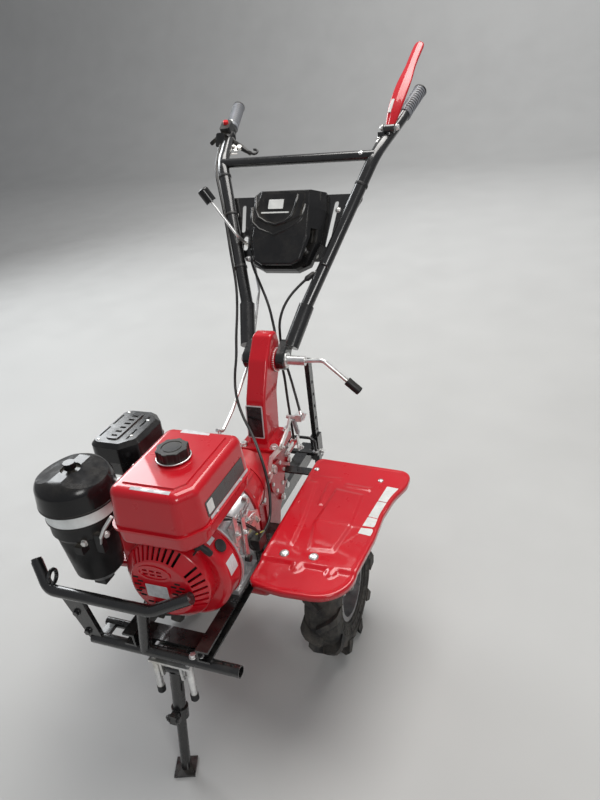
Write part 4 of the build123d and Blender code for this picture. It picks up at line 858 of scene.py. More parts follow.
class WEEDER_OT_labels(bpy.types.Operator):
    """Blank labels and plates of tank, shroud, column, fenders and clutch lever, slots of the recoil cover as
    plates of painted shade
    """
    bl_idname = "weeder.labels"
    bl_label = "Blank labels"

    def execute(self, context):
        for finish, name, middle, right, up, width, height, corner in LABELS:
            Form().slab(middle, right, up, oblong(width, height, corner), 0.5).place(name, finish, edge=0.15)
        front = Form()
        shoulder = []
        for a in turns(9, radians(90), radians(58)):
            shoulder.append(front.loop([(x, -366.6 + r * cos(a), 672 + r * sin(a))
                                        for x, r in ((-17, 17.0), (-17, 17.6), (67, 17.6), (67, 17.0))]))
        front.skin(shoulder).place("tank_label_front", "silver_label", edge=0)
        spots = [(column * 19 - 56 + row % 2 * 9, 420 + row * 9) for row in range(7) for column in range(6)]
        spots = [(x, z) for x, z in spots if abs(x + 11) > 32 and x * x + (z - CRANK_Z) ** 2 < 62 ** 2]
        spots += [(x, 414) for x in (-34, -17, 0, 17)] + [(x, 405) for x in (-26, -9, 8)]
        # The recoil cover's slots: thin near-black plates of painted shade on the cover's face
        slots = Form()
        for x, z in spots:
            slots.slab((x, COVER_FACE_Y, z), LEFT, UP, oblong(13, 4.6, 1.5), 0.2)
        slots.place("recoil_slots", "dark_inside", edge=0)
        patch = Form()
        drum_sheet(patch, SHROUD, 107.8, (radians(4), radians(21)), (-314, -283), 0.7)
        drum_sheet(patch, SHROUD, 107.8, (radians(47), radians(63)), (-315, -294), 0.7)
        patch.place("shroud_labels", "silver_label", edge=0.1)
        way = Vector((sin(radians(52)), 0, cos(radians(52))))
        foot = Vector((SHROUD[0], -298, SHROUD[1])) + way * 109
        plug = Form().turned(foot, way, [(0, 13.4), (2.5, 13.4), (3.6, 12), (3.2, 8), (3.2, 2)], 32)
        plug.place("shroud_plug", "black_rubber")
        for name, y, width, height, corner, thick, finish in (
                ("column_plate", 119.4, 46, 88, 3, 1.0, "silver_label"),
                ("column_plate_face", 118.3, 40, 82, 2, 0.6, "black_label")):
            plate = Form().slab((-3, y, 548), LEFT, (0, 0.116, 0.993), oblong(width, height, corner), thick)
            plate.place(name, finish, edge=0.2)
        for name, side in (("left", 1), ("right", -1)):
            strip = Form()
            for y in (-27, 36, 99):
                foot = (side * (321.7 + (y + 27) * 0.118), y, 390.1)
                strip.slab(foot, (1, -side * 0.118, 0), (side * 0.118, 1, 0), oblong(30, 61, 2), 0.4)
            strip.place(f"fender_labels_{name}", "pale_label", edge=0.1)
        lever = Form()
        lever.slab((242.8, 670.7, 1207), (0.182, 0.619, 0.764), (-0.963, 0.232, 0.139), oblong(38, 8, 2), 1.8)
        lever.place("clutch_lever_label", "pale_label", "handlebar", edge=0.1)
        return {"FINISHED"}


# Wires and hoses of the engine: name, diameter, points
WIRES = (
    ("pull_cord", 4, [(80, -342, 544), (70, -342, 528), (58, -342, 514), (44, -342, 500)]),
    ("stop_wire", 5, [(92, -262, 550), (98, -240, 538), (107, -214, 506), (116, -184, 470), (118, -164, 446),
                      (108, -156, 426)]),
    ("stop_wire_thin", 2.5, [(90, -250, 552), (100, -226, 528), (112, -200, 496), (121, -176, 462),
                             (112, -150, 424)]),
    ("fuel_hose", 8, [(-60, -176, 568), (-78, -164, 556), (-98, -158, 566), (-112, -163, 576)]),
    ("filler_tag_tie", 1.6, [(100, -160, 414), (112, -164, 420), (116, -166, 436), (110, -164, 441)]),
)


class WEEDER_OT_engine_dressing(bpy.types.Operator):
    """Fan in near-black painted shade, pull handle, alloy rim, throttle levers, fillers, plug, carburettor
    bowl, fuel and stop wires
    """
    bl_idname = "weeder.engine_dressing"
    bl_label = "Engine dressing"

    def execute(self, context):
        # Fan plate and blades behind the recoil cover's slots, near-black as painted shade
        dark = Form().turned((0, -352, CRANK_Z), REAR, [(0, 30), (-4, 46), (4, 88.5), (16, 88.5)], 48)
        dark.place("fan_plate", "dark_inside", edge=0)
        fan = Form()
        for a in turns(18):
            lean, side = Vector((cos(a), 0, sin(a))), Vector((-sin(a), 0, cos(a)))
            foot = Vector((0, -355, CRANK_Z)) + lean * 44
            fan.slab(foot, lean + side * 0.35, FRONT, [(0, 0), (40, 2), (38, 8), (4, 10)], 2)
        fan.place("fan_blades", "dark_inside", edge=0)
        rim = Form()
        rim.turned((SHROUD[0], -272.5, SHROUD[1]), REAR, [(0, 106), (0, 112.5), (3.5, 112.5), (6, 108)], 72)
        rim.place("crankcase_rim", "cast_alloy")
        way = Vector((0.62, 0.16, -0.77)).normalized()
        middle = Vector((86, -344, 552))
        spine = [middle + way * k for k in (-30, -28, -18, -7, 7, 18, 28, 30)]
        handle = Form().bar(spine, [4, 6, 7, 6, 6, 7, 6, 4], 20)
        handle.turned(middle, (-0.55, 0.2, -0.6), [(0, 8), (12, 7), (20, 5.5)], 16)
        handle.place("pull_handle", "black_rubber", edge=0)
        for name, diameter, points in WIRES:
            dressed(thread(name, points, diameter), "black_rubber")
        levers = Form()
        levers.slab((104, -238, 516), REAR, (0, -0.35, 1), oblong(14, 52, 6), 2.5)
        levers.slab((109, -214, 508), REAR, (0, 0.25, 1), oblong(13, 64, 6), 2.5)
        levers.slab((101, -196, 500), REAR, (0, -0.9, 0.5), oblong(12, 44, 5), 2.5)
        levers.fasten([("nut", 6, LEFT, [(106.5, -240, 498), (111.5, -216, 486), (103.5, -184, 494)]),
                       ("dome", 6, LEFT, [(106.5, -230, 536), (111.5, -208, 532)])])
        levers.bar([(112, -212, 524), (112, -176, 512), (110, -150, 490)], 2)
        levers.turned((96, -190, 516), LEFT, [(0, 9), (16, 9), (18, 7)])
        levers.turned((96, -176, 538), LEFT, [(0, 7), (12, 7), (13, 5)])
        levers.block((84, -236, 470), (100, -188, 506))
        levers.place("throttle_levers", "zinc_steel")
        springs = Form()
        for start, end, radius, count in (((112, -228, 530), (113, -186, 540), 3.4, 13),
                                          ((107, -206, 470), (107, -166, 484), 3.0, 11)):
            start, end = Vector(start), Vector(end)
            way = (end - start).normalized()
            winding = coil(start, way, (end - start).length, radius, count)
            springs.bar([start - way * 6, *winding, end + way * 6], 0.7, 6)
        springs.place("governor_springs", "spring_steel", edge=0)
        switch = Form().block((96, -176, 402), (118, -140, 430))
        switch.turned((98, -208, 408), LEFT, [(0, 8), (12, 8), (13, 6)])
        switch.place("switch_box", "black_plastic", edge=1.2)
        way = Vector((sin(radians(55)), 0, cos(radians(55))))
        foot = Vector((78, -164, 396)) + way * 21
        dipstick = Form().turned(foot, way, [(0, 15), (5, 15), (7, 12), (7, 7), (16, 6), (18, 4)], 20)
        dipstick.place("filler_plug", "black_plastic")
        tag = Form().slab((110, -151, 434), (-0.08, 0.86, -0.5), (0.9, 0.12, 0.42), oblong(38, 9, 3), 1.4)
        tag.place("filler_tag", "yellow_tag", edge=0.2)
        tip, head = Vector(on_cylinder(6, -44, 158)), Vector(on_cylinder(30, -86, 158))
        along = head - tip
        plug = Form()
        plug.turned(tip, along, [(0, 9.5), (8, 9.5), (8, 7), (20, 7), (20, 10), (44, 9), (48, 6)], 16)
        plug.place("plug_cap", "black_rubber")
        lead = [head - along * 0.1, head + Vector((6, -14, 0))]
        lead += [(-108, -286, 528), (-92, -300, 512), (-80, -296, 498)]
        dressed(thread("plug_lead", lead, 7), "black_rubber")
        bowl = Form()
        bowl.turned((-124, -185, 561), (0, 0, -1), [(0, 20), (10, 20), (14, 17), (24, 15), (28, 8), (34, 6)])
        bowl.turned((-124, -160, 590), REAR, [(0, 9), (6, 9), (8, 7)], 16)
        bowl.fasten([("plain bolt", 5, UP, [(x, y, 605) for y in (-203, -167) for x in (-138, -110)])])
        bowl.place("carburettor_bowl", "cast_alloy")
        return {"FINISHED"}


class WEEDER_OT_air_cleaner(bpy.types.Operator):
    """Trim rings, wire latch and clip of the air cleaner"""
    bl_idname = "weeder.air_cleaner"
    bl_label = "Air cleaner"

    def execute(self, context):
        x, y = AIR_CLEANER
        trim = Form().turned((x, y, 600), UP, [(-0.5, 78.5), (-0.5, 82.4), (3.5, 82.4), (4.5, 81)], 72)
        trim.turned((x, y, 566), UP, [(0, 72), (0, 75.8), (4, 75.8), (4.5, 74.5)], 72)
        trim.place("air_cleaner_trim", "black_plastic")
        latch = Form().bolt((x + 42, y - 64, 534), FRONT, 7).bolt((x + 76, y - 36, 540), (0.8, -0.6, 0), 7)
        latch.bar([(x + 84, y - 60, 552), (x + 96, y - 58, 574), (x + 118, y - 52, 603)], 4)
        latch.bar([(x + 84, y - 60, 552), (x + 72, y - 52, 528)], 2.5)
        latch.place("air_cleaner_latch", "zinc_steel")
        clip = Form().block((x + 58, y - 54, 505), (x + 76, y - 40, 548))
        clip.place("air_cleaner_clips", "black_plastic", edge=1.0)
        return {"FINISHED"}


class WEEDER_OT_frame_trim(bpy.types.Operator):
    """Guard's ring, sleeves of the stand's rods, holes as patches of painted shade, hitch clip, clutch
    linkage and pivot teeth
    """
    bl_idname = "weeder.frame_trim"
    bl_label = "Frame trim"

    def execute(self, context):
        guard = Form().hoop((-262, -391, 440), (1, 0.2, 0), 15, 4.5, 40)
        guard.bar([(-210, -399, 300), (-196, -397, 372)], 4)
        guard.fasten([("bolt", 8, FRONT, [(-206, -411, 372), (-192, -411, 322)])])
        guard.place("guard_ring", "black_paint")
        rods, tips = Form(), Form()
        for side in SIDES:
            start, end = Vector((side * 40, -406, 292)), Vector((side * 40, -411.6, 202))
            rods.turned(start, end - start, [(0, 7.6), (90, 7.6)])
            tips.turned(end, end - start, [(-4, 8.8), (11, 8.8), (13, 7.2)])
        rods.place("stand_rod_sleeves", "zinc_steel")
        tips.place("stand_rod_tips", "black_rubber")
        # Holes of the cross tube: flat near-black patches of painted shade
        holes = Form()
        for x in (126, 142):
            holes.slab((x, -405, 312.75), LEFT, REAR, oblong(9, 6, 2.9), 0.25)
        holes.place("cross_tube_holes", "dark_inside", edge=0)
        clip = Form().hoop((-2, 460, 263), LEFT, 9, 1.5, 28, 0.4, 5.2)
        clip.bar([(-2, 454, 245), (-2, 451, 283)], 1.5, 8)
        for x in (-BAIL_X, BAIL_X):
            clip.turned((x, 386, 298), UP, [(-6, 8), (4, 8)])
        clip.place("hitch_clip", "zinc_steel")
        pawls = Form()
        pawls.slab((52, 176, 440), REAR, UP, oblong(64, 13, 6), 3)
        pawls.slab((56, 232, 424), REAR, (0, -0.4, 1), oblong(15, 46, 6), 3)
        pawls.fasten([("nut", 8, LEFT, [(55, 154, 440), (59, 236, 410), (62, 112, 486)])])
        pawls.turned((36, 256, 405), UP, [(0, 9), (5, 9), (5, 6), (16, 6)], 6)
        pawls.turned((92, 196, 520), (0.3, 0.4, 0.8), [(0, 5.5), (18, 5.5), (19, 4)], 16)
        pawls.place("clutch_linkage", "zinc_steel")
        start, end = Vector((62, 206, 518)), Vector((60, 236, 444))
        way = (end - start).normalized()
        spring = Form().bar([start, *coil(start + way * 8, way, 58, 5.2, 16), end], 1.1, 6)
        spring.place("clutch_spring", "spring_steel", edge=0)
        teeth = Form()
        for side in SIDES:
            for a in turns(40):
                lean, along = Vector((0, cos(a), sin(a))), Vector((0, -sin(a), cos(a)))
                foot = Vector((side * 26.5, *PIVOT[1:])) + lean * 29.4 - along * 0.9
                teeth.slab(foot, along, (side, 0, 0), [(0, 0), (1.8, 0), (1.8, 7), (0, 7)], side * 1.5)
        teeth.place("pivot_teeth", "zinc_steel", edge=0)
        return {"FINISHED"}


class WEEDER_OT_console(bpy.types.Operator):
    """Moulded ribs, blank plate and screws of the console, ring and clips on the arms"""
    bl_idname = "weeder.console"
    bl_label = "Console"

    def execute(self, context):
        def on_face(form, outline, height, thick):
            form.slab(on_console(0, 0, height), LEFT, CONSOLE_SLOPE, outline, thick)

        ribs = Form()
        for x in (-96, -86):
            on_face(ribs, [(x - 2.2, -150), (x + 2.2, -150), (x + 4.2, -4), (x - 0.2, -4)], 14, 14)
        for x in (80, 91):
            on_face(ribs, [(x - 1.6, -140), (x + 1.6, -140), (x + 0.6, -4), (x - 2.6, -4)], 20, 11)
        for side in SIDES:
            panel = [(side * x, up) for x, up in ((12, -178), (40, -178), (46, -138), (34, -132), (14, -140))]
            on_face(ribs, panel[::side], 47, 3.2)
        ribs.place("console_ribs", "black_plastic", "handlebar", edge=0.9)
        relief = Form()
        shield = [(-80, -22), (-76, -60), (-66, -80), (-42, -94), (-14, -101), (12, -93), (28, -78),
                  (35, -52), (38, -20)]
        outer = [(-88, -52), (-84, -92), (-60, -112), (-17, -128), (28, -108), (54, -88), (60, -46)]
        for line, height, radius in ((shield, 57.5, 4.0), (outer, 53.0, 5.0)):
            relief.bar([on_console(x, up, height) for x, up in line], radius, 14)
        for x, up in ((-62, -140), (-14, -150), (30, -140)):
            relief.bar([on_console(x + k * 2, up - 13 * k, 46.5 + (1.5 if 0 < k < 4 else 0))
                        for k in range(5)], 4.5, 14)
        relief.place("console_relief", "gloss_black", "handlebar", edge=0)
        badge = Form()
        on_face(badge, [(x - 20, up - 45) for x, up in oblong(42, 26, 2)], 58.2, 0.6)
        on_face(badge, [(x - 20, up - 68) for x, up in oblong(78, 4, 1.5)], 58.2, 0.5)
        badge.place("console_badge", "pale_label", "handlebar", edge=0.1)
        screws = Form()
        for x in (62, -64):
            screws.turned(on_console(x, -158, 28), CONSOLE_NORMAL, [(0, 8), (14, 8), (15.5, 6.5), (15.5, 3)])
        screws.place("console_screws", "zinc_steel", "handlebar")
        ring = Form().hoop((122, 381, 868), (0.2, 0.9, 0.4), 9, 2, 32)
        ring.place("arm_ring", "black_paint", "handlebar", edge=0)
        clips = Form()
        for side, share in ((-1, 0.25), (-1, 0.62), (-1, 0.9), (1, 0.8)):
            low, high = Vector((side * 84, 330, 780)), Vector((side * 219, 572, 1102.5))
            profile = [(-4, 17.0), (-3, 17.6), (3, 17.6), (4, 17.0)]
            clips.turned(low.lerp(high, share), high - low, profile, 32)
        clips.place("cable_clips", "black_rubber", "handlebar")
        return {"FINISHED"}


class WEEDER_OT_hand_controls(bpy.types.Operator):
    """Stop switch, throttle case, bracket and levers by the right grip, adjuster of the clutch cable"""
    bl_idname = "weeder.hand_controls"
    bl_label = "Hand controls"

    def execute(self, context):
        button = Form().turned((-252, 694, 1195), (0.1, -0.35, 0.93), [(0, 8), (7, 8), (9, 6.5)])
        button.place("stop_button", "red_switch", "handlebar")
        way = Vector((-37.5, 154.5, 67.5))
        case = Form().turned((-259, 716, 1167), way, [(-4, 20.5), (0, 22), (10, 22), (14, 20)], 40)
        case.slab((-262, 676, 1150), LEFT, (0, 0.4, 0.92), oblong(28, 40, 6), 16)
        case.place("throttle_case", "black_plastic", "handlebar", edge=0.8)
        bracket = Form()
        bracket.slab((-252, 655, 1128), (1, 0.05, 0), (0, 0.7, 0.7), oblong(26, 30, 4), 3)
        bracket.slab((-222, 664, 1131), (0.9, -0.3, -0.4), (0.2, 0.8, 0.5), oblong(34, 16, 5), 2.5)
        bracket.bar([(-250, 654, 1128), (-238, 646, 1118), (-214, 662, 1116)], 3)
        bracket.fasten([("nut", 6, (0.1, -0.8, 0.6), [(-262, 650, 1132), (-236, 652, 1130)]),
                        ("bolt", 8, (0.3, -0.5, 0.8), [(-206, 664, 1130)]),
                        ("dome", 6, (0, -0.6, 0.8), [(-224, 662, 1136), (-244, 712, 1200)])])
        bracket.place("throttle_bracket", "zinc_steel", "handlebar")
        thumb = Form()
        spine = [(-226, 680, 1146), (-206, 672, 1132), (-184, 664, 1120), (-168, 660, 1114)]
        thumb.bar(spine, [5, 9, 6, 4.6], 16)
        thumb.hoop((-158, 659, 1118), (0.2, -0.5, 0.85), 9, 3.6, 28, -2.6, 4.4)
        thumb.place("thumb_lever", "black_plastic", "handlebar", edge=0)
        speed = Form().slab((-284, 676, 1156), (0.25, 0.9, 0.35), (-0.3, -0.25, 0.92), oblong(52, 12, 4), 3)
        speed.place("speed_lever", "black_plastic", "handlebar")
        way = Vector((-8.5, -24.5, -18.8)).normalized()
        foot = Vector((212.5, 628.5, 1126.8)) - way * 16
        adjuster = Form().turned(foot, way, [(0, 5.5), (4, 5.5), (4, 7.5), (10, 7.5), (10, 5), (22, 5)], 12)
        adjuster.place("clutch_adjuster", "zinc_steel", "handlebar")
        return {"FINISHED"}


# Cables across the handlebar's pivot: name, the two solids each one replaces, its points
CABLES = (
    ("throttle_line", ("throttle_cable_upper", "throttle_cable"),
     [(-265, 673.7, 1150.8), (-253.3, 624.6, 1129.4), (-234, 549, 1089), (-204.5, 503, 1035.5),
      (-174, 453, 966.5), (-147, 400.5, 898.5), (-117, 350, 830), (-101, 302, 774), (-90, 252, 722),
      (-84, 226, 676), (-81, 194, 637), (-65, 154, 602), (-36, 118, 564), (6, 78, 538), (44, 28, 522),
      (72, -8, 488), (86, -30, 446), (93, -58, 408), (100, -92, 404), (100, -121.7, 404)]),
    ("clutch_line", ("clutch_cable_upper", "clutch_cable"),
     [(212.5, 628.5, 1126.8), (204, 604, 1108), (186, 573, 1068), (166, 543, 1015), (148, 513, 964),
      (131, 476.6, 910), (106, 425.4, 857.2), (66, 372, 832), (30, 332, 796), (14, 304, 750),
      (16, 292, 704), (17, 290, 658), (30, 284, 620), (49, 260, 586), (68, 232, 558), (84, 207, 538)]),
    ("reverse_line", ("reverse_cable_upper", "reverse_cable"),
     [(-114, 447, 897.5), (-100, 422, 862), (-62, 378, 824), (-22, 332, 778), (-1, 300, 728), (5, 290, 700),
      (7, 290, 656), (19, 282, 602), (22, 275, 546), (27, 268, 492), (34, 256, 444), (34, 256, 416.3)]),
)


class WEEDER_OT_cables(bpy.types.Operator):
    """Control cables that run across the handlebar's pivot, with their boots and the clutch adjuster"""
    bl_idname = "weeder.cables"
    bl_label = "Control cables"

    def execute(self, context):
        for name, nodes, points in CABLES:
            line = thread(name + "_route", points, 7)
            mesh = bpy.data.meshes.new_from_object(line.evaluated_get(context.evaluated_depsgraph_get()))
            bpy.data.objects.remove(line)
            mesh.shade_smooth()
            mesh.materials.clear()
            mesh.materials.append(FINISHES["cable_sheath"])
            piece = linked(name, mesh)
            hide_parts(*nodes)
            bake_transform(piece)
        boots = Form()
        upper, lower = ((126, 462, 893), (111, 433, 865)), ((88, 400, 844), (70, 376, 834))
        for foot, tip in (upper, lower):
            way = Vector(tip) - Vector(foot)
            boots.turned(foot, way, [(0, 5), (4, 7.5), (way.length - 6, 7.5), (way.length, 4.5)], 20)
        boots.place("clutch_cable_boots", "black_rubber", "handlebar")
        way = Vector(lower[0]) - Vector(upper[1])
        profile = [(way.length * share, radius) for share, radius in
                   ((0, 4.6), (0.3, 4.6), (0.3, 6.6), (0.55, 6.6), (0.55, 4.6), (1, 4.6))]
        adjuster = Form().turned(upper[1], way, profile, 16)
        adjuster.place("clutch_cable_adjuster", "zinc_steel", "handlebar")
        return {"FINISHED"}


class WEEDER_OT_tank_and_muffler(bpy.types.Operator):
    """Seam bolts and filler ring of the tank, choke and fuel levers, outlet and nuts of the muffler"""
    bl_idname = "weeder.tank_and_muffler"
    bl_label = "Tank and muffler"

    def execute(self, context):
        low, high = drawn(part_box("fuel_tank"))
        seams = [(x, y, 607.5) for y in (low.y + 90, high.y - 60) for x in (high.x - 7, low.x + 7)]
        cap_low, cap_high = drawn(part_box("tank_cap"))
        middle = (cap_low + cap_high) / 2
        tank = Form().fasten([("plain bolt", 6, UP, seams)])
        tank.hoop((middle.x, middle.y, cap_low.z + 0.6), UP, 33.5, 1.6, 56)
        tank.place("tank_bolts", "zinc_steel")
        levers = Form()
        levers.slab((-98, -226, 612), (0.2, -1, 0), UP, oblong(44, 12, 5), 4)
        levers.slab((-106, -216, 566), FRONT, (0.3, 0, 1), oblong(34, 10, 4), 4)
        levers.turned((-110, -196, 566), LEFT, [(0, 8), (12, 8), (13, 6.5)], 16)
        levers.place("choke_and_fuel_levers", "black_plastic")
        low, high = drawn(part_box("muffler"))
        middle = (low + high) / 2
        exhaust = Form().fasten([("nut", 8, RIGHT, [(low.x, middle.y + side * 34, 548) for side in SIDES])])
        exhaust.turned((middle.x, high.y - 2, 560), REAR, [(0, 15), (2, 15)])
        exhaust.place("muffler_nuts", "zinc_steel")
        return {"FINISHED"}


# Fender's outline seen from above: corner as x and y, and the corner's radius
FENDER_OUTLINE = (((116, -250), 20), ((190, -264), 180), ((328, -258), 110), ((345, -60), 240),
                  ((344, 20), 150), ((353, 90), 180), ((372, 146), 60), ((372.4, 205), 40), ((114, 222), 20))
# Fender's raised fields: corners, rise, softness of their shoulders
FENDER_FIELDS = (
    (((122, -126), (178, -128), (166, -30), (158, 112), (122, 114)), 3.4, 11),
    (((214, -134), (268, -128), (281, -34), (276, 84), (206, 94), (196, -48)), 3.8, 11),
    (((222, 108), (290, 103), (290, 116), (222, 121)), 2.6, 6),
    (((180, 24), (192, 26), (188, 120), (178, 118)), 2.2, 6),
    (((124, 132), (206, 136), (206, 141), (124, 137)), 2.0, 6),
)
# Height of the fender's front, the step up behind it, the height of the ridge across it
FENDER_FRONT_Z, FENDER_STEP, FENDER_RIDGE = 383.0, 7.0, 0.8
FENDER_DARTS = (204, 281)
FENDER_MIDDLE = (232, -20)


def round_corners(corners, steps=14):
    """Outline through corners that are rounded by arcs."""
    outline = []
    spots = [Vector(spot) for spot, _ in corners]
    for k, (_, radius) in enumerate(corners):
        here, before, after = spots[k], spots[k - 1], spots[(k + 1) % len(spots)]
        a, b = (before - here).normalized(), (after - here).normalized()
        half = a.angle(b) / 2
        reach = min(radius / tan(half), (before - here).length * 0.5, (after - here).length * 0.5)
        size = reach * tan(half)
        centre = here + (a + b).normalized() * (size / sin(half))
        first, last = here + a * reach - centre, here + b * reach - centre
        sweep = first.angle_signed(last)
        for n in range(steps + 1):
            angle = -sweep * n / steps
            outline.append(centre + Vector((first.x * cos(angle) - first.y * sin(angle),
                                            first.x * sin(angle) + first.y * cos(angle))))
    return outline


def evenly(outline, count):
    """The same closed outline as evenly spaced points."""
    lengths = [(b - a).length for a, b in zip(outline, outline[1:] + outline[:1])]
    step, walked, k, points = sum(lengths) / count, 0.0, 0, []
    for n in range(count):
        while walked + lengths[k] < n * step:
            walked += lengths[k]
            k += 1
        share = (n * step - walked) / max(lengths[k], 1e-6)
        points.append(outline[k].lerp(outline[(k + 1) % len(outline)], share))
    return points


def eased(value, low, high):
    """0 below low, 1 above high, and a soft rise between."""
    t = min(1.0, max(0.0, (value - low) / (high - low)))
    return t * t * (3 - 2 * t)


def fender_rise(x, y):
    """Height of the left fender's pressed sheet at a point seen from above."""
    z = FENDER_FRONT_Z + FENDER_STEP * eased(y, -185, -172)
    for corners, rise, soft in FENDER_FIELDS:
        gap = -1e9
        for (ax, ay), (bx, by) in zip(corners, corners[1:] + corners[:1]):
            side = Vector((bx - ax, by - ay)).normalized()
            gap = max(gap, (x - ax) * side.y - (y - ay) * side.x)
        z += rise * (1 - eased(gap, -soft / 2, soft / 2))
    for dart in FENDER_DARTS:
        dome = 1 - ((x - dart) / 15) ** 2 - ((y + 176) / 26) ** 2
        if y < -176 and dome > 0:
            z = max(z, FENDER_FRONT_Z + FENDER_STEP * dome ** 0.7)
    return z + FENDER_RIDGE * eased(abs(y + 32), 9, 0) * eased(x, 185, 200)


# Fender's rolled lip: distance in from the outline, height above the sheet
FENDER_LIP = ((0.0, -12.5), (0.0, -3.0), (0.8, -0.6), (2.6, 1.0), (5.0, 1.5), (8.0, 1.0), (11.0, 0.3),
              (14.0, 0.0))


class WEEDER_OT_fenders(bpy.types.Operator):
    """Pressed fenders with soft raised fields, domed darts on the front step and a rolled lip"""
    bl_idname = "weeder.fenders"
    bl_label = "Fenders"

    edge_points, rows, thickness = 220, 52, 1.5

    def execute(self, context):
        edge = evenly(round_corners(FENDER_OUTLINE), self.edge_points)
        normals = []
        for k in range(len(edge)):
            along = (edge[(k + 1) % len(edge)] - edge[k - 1]).normalized()
            normals.append(Vector((along.y, -along.x)))
        sheets = []
        for inset, lift in FENDER_LIP:
            inner = [spot - normal * inset for spot, normal in zip(edge, normals)]
            sheets.append((inner, lift))
        for n in range(1, self.rows):
            sheets.append(([spot.lerp(Vector(FENDER_MIDDLE), n / self.rows) for spot in inner], 0.0))
        for name, side in (("left", 1), ("right", -1)):
            sheet = Form()
            loops = [sheet.loop([(side * p.x, p.y, fender_rise(p.x, p.y) + lift) for p in spots])
                     for spots, lift in sheets]
            sheet.skin(loops, ends=False)
            sheet.mesh.faces.new(loops[-1])
            piece = sheet.place(f"fender_sheet_{name}", "red_paint", edge=0)
            wall = piece.modifiers.new("Sheet", "SOLIDIFY")
            wall.thickness = self.thickness * MM
            wall.offset = -1.0
            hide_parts(f"fender_{name}")
        return {"FINISHED"}


# Clutch lever's blade from its foot to its tip: place, half width, half depth
BLADE = (
    ((241, 637, 1154), 11, 5.5), ((245, 648, 1168), 13, 6), ((248, 660, 1184), 17, 7),
    ((253, 676, 1206), 19, 7), ((258, 694, 1226), 20, 7), ((264, 720, 1250), 20, 7),
    ((268, 748, 1268), 18, 7), ((271, 772, 1284), 15, 7), ((273, 786, 1294), 14, 7),
    ((277, 818, 1315), 14, 7.5), ((281, 846, 1332), 14.5, 7.5), ((283, 859, 1340), 13, 7),
    ((284, 864, 1343), 8, 5),
)
BLADE_RIDGE, BLADE_SQUARENESS = 2.4, 0.8


class WEEDER_OT_clutch_handle(bpy.types.Operator):
    """Broad red clutch lever, its pivot boss and the cable's clip at its foot"""
    bl_idname = "weeder.clutch_handle"
    bl_label = "Clutch handle"

    def execute(self, context):
        handle = Form()
        rings = []
        for k, (spot, half, deep) in enumerate(BLADE):
            ahead, behind = BLADE[min(k + 1, len(BLADE) - 1)][0], BLADE[max(k - 1, 0)][0]
            way = (Vector(ahead) - Vector(behind)).normalized()
            wide = (Vector((1, -0.12, 0)) - way * way.x).normalized()
            out = way.cross(wide)
            ring = []
            for a in turns(40):
                reach, depth = [copysign(size * abs(share) ** BLADE_SQUARENESS, share)
                                for size, share in ((half, cos(a)), (deep, sin(a)))]
                if depth * out.z > 0:
                    depth += copysign(BLADE_RIDGE * max(0.0, 1 - abs(reach) / (half * 0.28)), depth)
                ring.append(Vector(spot) + wide * reach + out * depth)
            rings.append(handle.loop(ring))
        piece = handle.skin(rings).place("clutch_handle", "red_plastic", "handlebar", edge=0)
        smooth = piece.modifiers.new("Smooth", "SUBSURF")
        smooth.levels = smooth.render_levels = 2
        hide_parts("clutch_lever")
        foot = Form().turned((228, 640, 1155), LEFT, [(0, 9), (1.5, 11), (28, 11), (29.5, 9)], 32)
        foot.bar([(240, 634, 1134), (243, 645, 1160), (249, 664, 1188)], [7, 9, 8], 20)
        foot.block((213, 631, 1124), (231, 635, 1150))
        foot.place("clutch_handle_foot", "black_steel", "handlebar", edge=0.8)
        return {"FINISHED"}


# Soft lights: name, place, the point it looks at, size, watts, colour
LAMPS = (
    ("overhead", (0.4, 0.9, 3.4), (0, 0, 0.4), 2.2, 100.0, (1.0, 0.98, 0.95)),
    ("window", (-3.2, 1.8, 2.6), (0, 0, 0.5), 2.0, 95.0, (0.95, 0.98, 1.0)),
    ("front", (2.4, -2.6, 2.6), (0, 0, 0.4), 1.2, 40.0, (1.0, 0.99, 0.97)),
    ("backdrop", (0.0, 3.6, 4.6), (0, 8.6, 1.6), 3.4, 260.0, (1.0, 1.0, 1.0)),
)


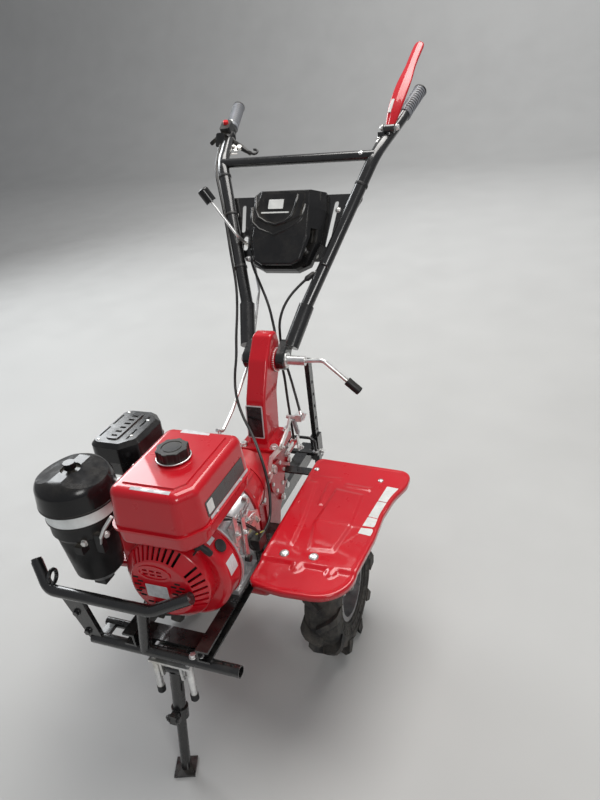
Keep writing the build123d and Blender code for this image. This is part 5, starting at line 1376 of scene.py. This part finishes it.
class WEEDER_OT_stage(bpy.types.Operator):
    """Lays the pale floor and backdrop, hangs the soft lights and sets the photograph's camera"""
    bl_idname = "weeder.stage"
    bl_label = "Stage"

    # Floor in metres: front end, where the backdrop's bend starts, backdrop's top, radius of the bend
    reach, back, rise, bend = 9.0, 7.0, 6.0, 2.5

    def execute(self, context):
        scene = context.scene
        stage = scene.weeder_stage
        profile = [(-self.reach, 0.0), (self.back, 0.0)]
        for k in range(1, 9):
            lean = pi / 16 * k
            profile.append((self.back + self.bend * sin(lean), self.bend * (1 - cos(lean))))
        profile.append((self.back + self.bend, self.rise))
        floor = bmesh.new()
        half = self.reach * 1.5
        rows = [[floor.verts.new((x, y, z)) for x in (-half, half)] for y, z in profile]
        for low, high in zip(rows, rows[1:]):
            floor.faces.new((low[0], low[1], high[1], high[0]))
        mesh = bpy.data.meshes.new("floor")
        floor.to_mesh(mesh)
        floor.free()
        mesh.shade_smooth()
        mesh.materials.append(FINISHES["floor"])
        sheet = linked("floor", mesh)
        for row in LAMPS:
            lamp(*row)
        scene.world = bpy.data.worlds.new("Studio")
        scene.world.use_nodes = True
        sky = scene.world.node_tree.nodes["Background"]
        sky.inputs["Color"].default_value = (0.93, 0.95, 1.0, 1.0)
        sky.inputs["Strength"].default_value = 0.30
        camera = linked("camera", bpy.data.cameras.new("camera"))
        camera.data.sensor_fit = "HORIZONTAL"
        camera.data.sensor_width = SENSOR
        camera.data.lens = SENSOR * stage.focal / IMAGE[0]
        camera.data.clip_start = 0.05
        camera.matrix_world = photo_camera(stage)
        scene.camera = camera
        scene.view_settings.view_transform = "Standard"
        return {"FINISHED"}


class WEEDER_PT_panel(bpy.types.Panel):
    """Lists the weeder's steps in the sidebar"""
    bl_idname = "WEEDER_PT_panel"
    bl_label = "Power weeder"
    bl_space_type = "VIEW_3D"
    bl_region_type = "UI"
    bl_category = "Weeder"

    def draw(self, context):
        column = self.layout.column()
        for group in (context.scene.weeder_sizes, context.scene.weeder_stage):
            for name in group.__annotations__:
                column.prop(group, name)
        for step in STEPS:
            column.operator(step.bl_idname)


STEPS = (
    WEEDER_OT_finish_solids, WEEDER_OT_fasteners, WEEDER_OT_grips, WEEDER_OT_wheels, WEEDER_OT_labels,
    WEEDER_OT_engine_dressing, WEEDER_OT_air_cleaner, WEEDER_OT_frame_trim, WEEDER_OT_console,
    WEEDER_OT_hand_controls, WEEDER_OT_cables, WEEDER_OT_tank_and_muffler, WEEDER_OT_fenders,
    WEEDER_OT_clutch_handle, WEEDER_OT_stage,
)
CLASSES = (WeederSizes, StageSizes, *STEPS, WEEDER_PT_panel)


def register():
    """Registers the classes and hangs the sizes on the scene."""
    for kind in CLASSES:
        bpy.utils.register_class(kind)
    bpy.types.Scene.weeder_sizes = bpy.props.PointerProperty(type=WeederSizes)
    bpy.types.Scene.weeder_stage = bpy.props.PointerProperty(type=StageSizes)


def unregister():
    """Takes them off again."""
    del bpy.types.Scene.weeder_stage
    del bpy.types.Scene.weeder_sizes
    for kind in reversed(CLASSES):
        bpy.utils.unregister_class(kind)


def main():
    """Runs every step in order."""
    register()
    for step in STEPS:
        group, name = step.bl_idname.split(".")
        getattr(getattr(bpy.ops, group), name)()


if __name__ == "__main__":
    main()
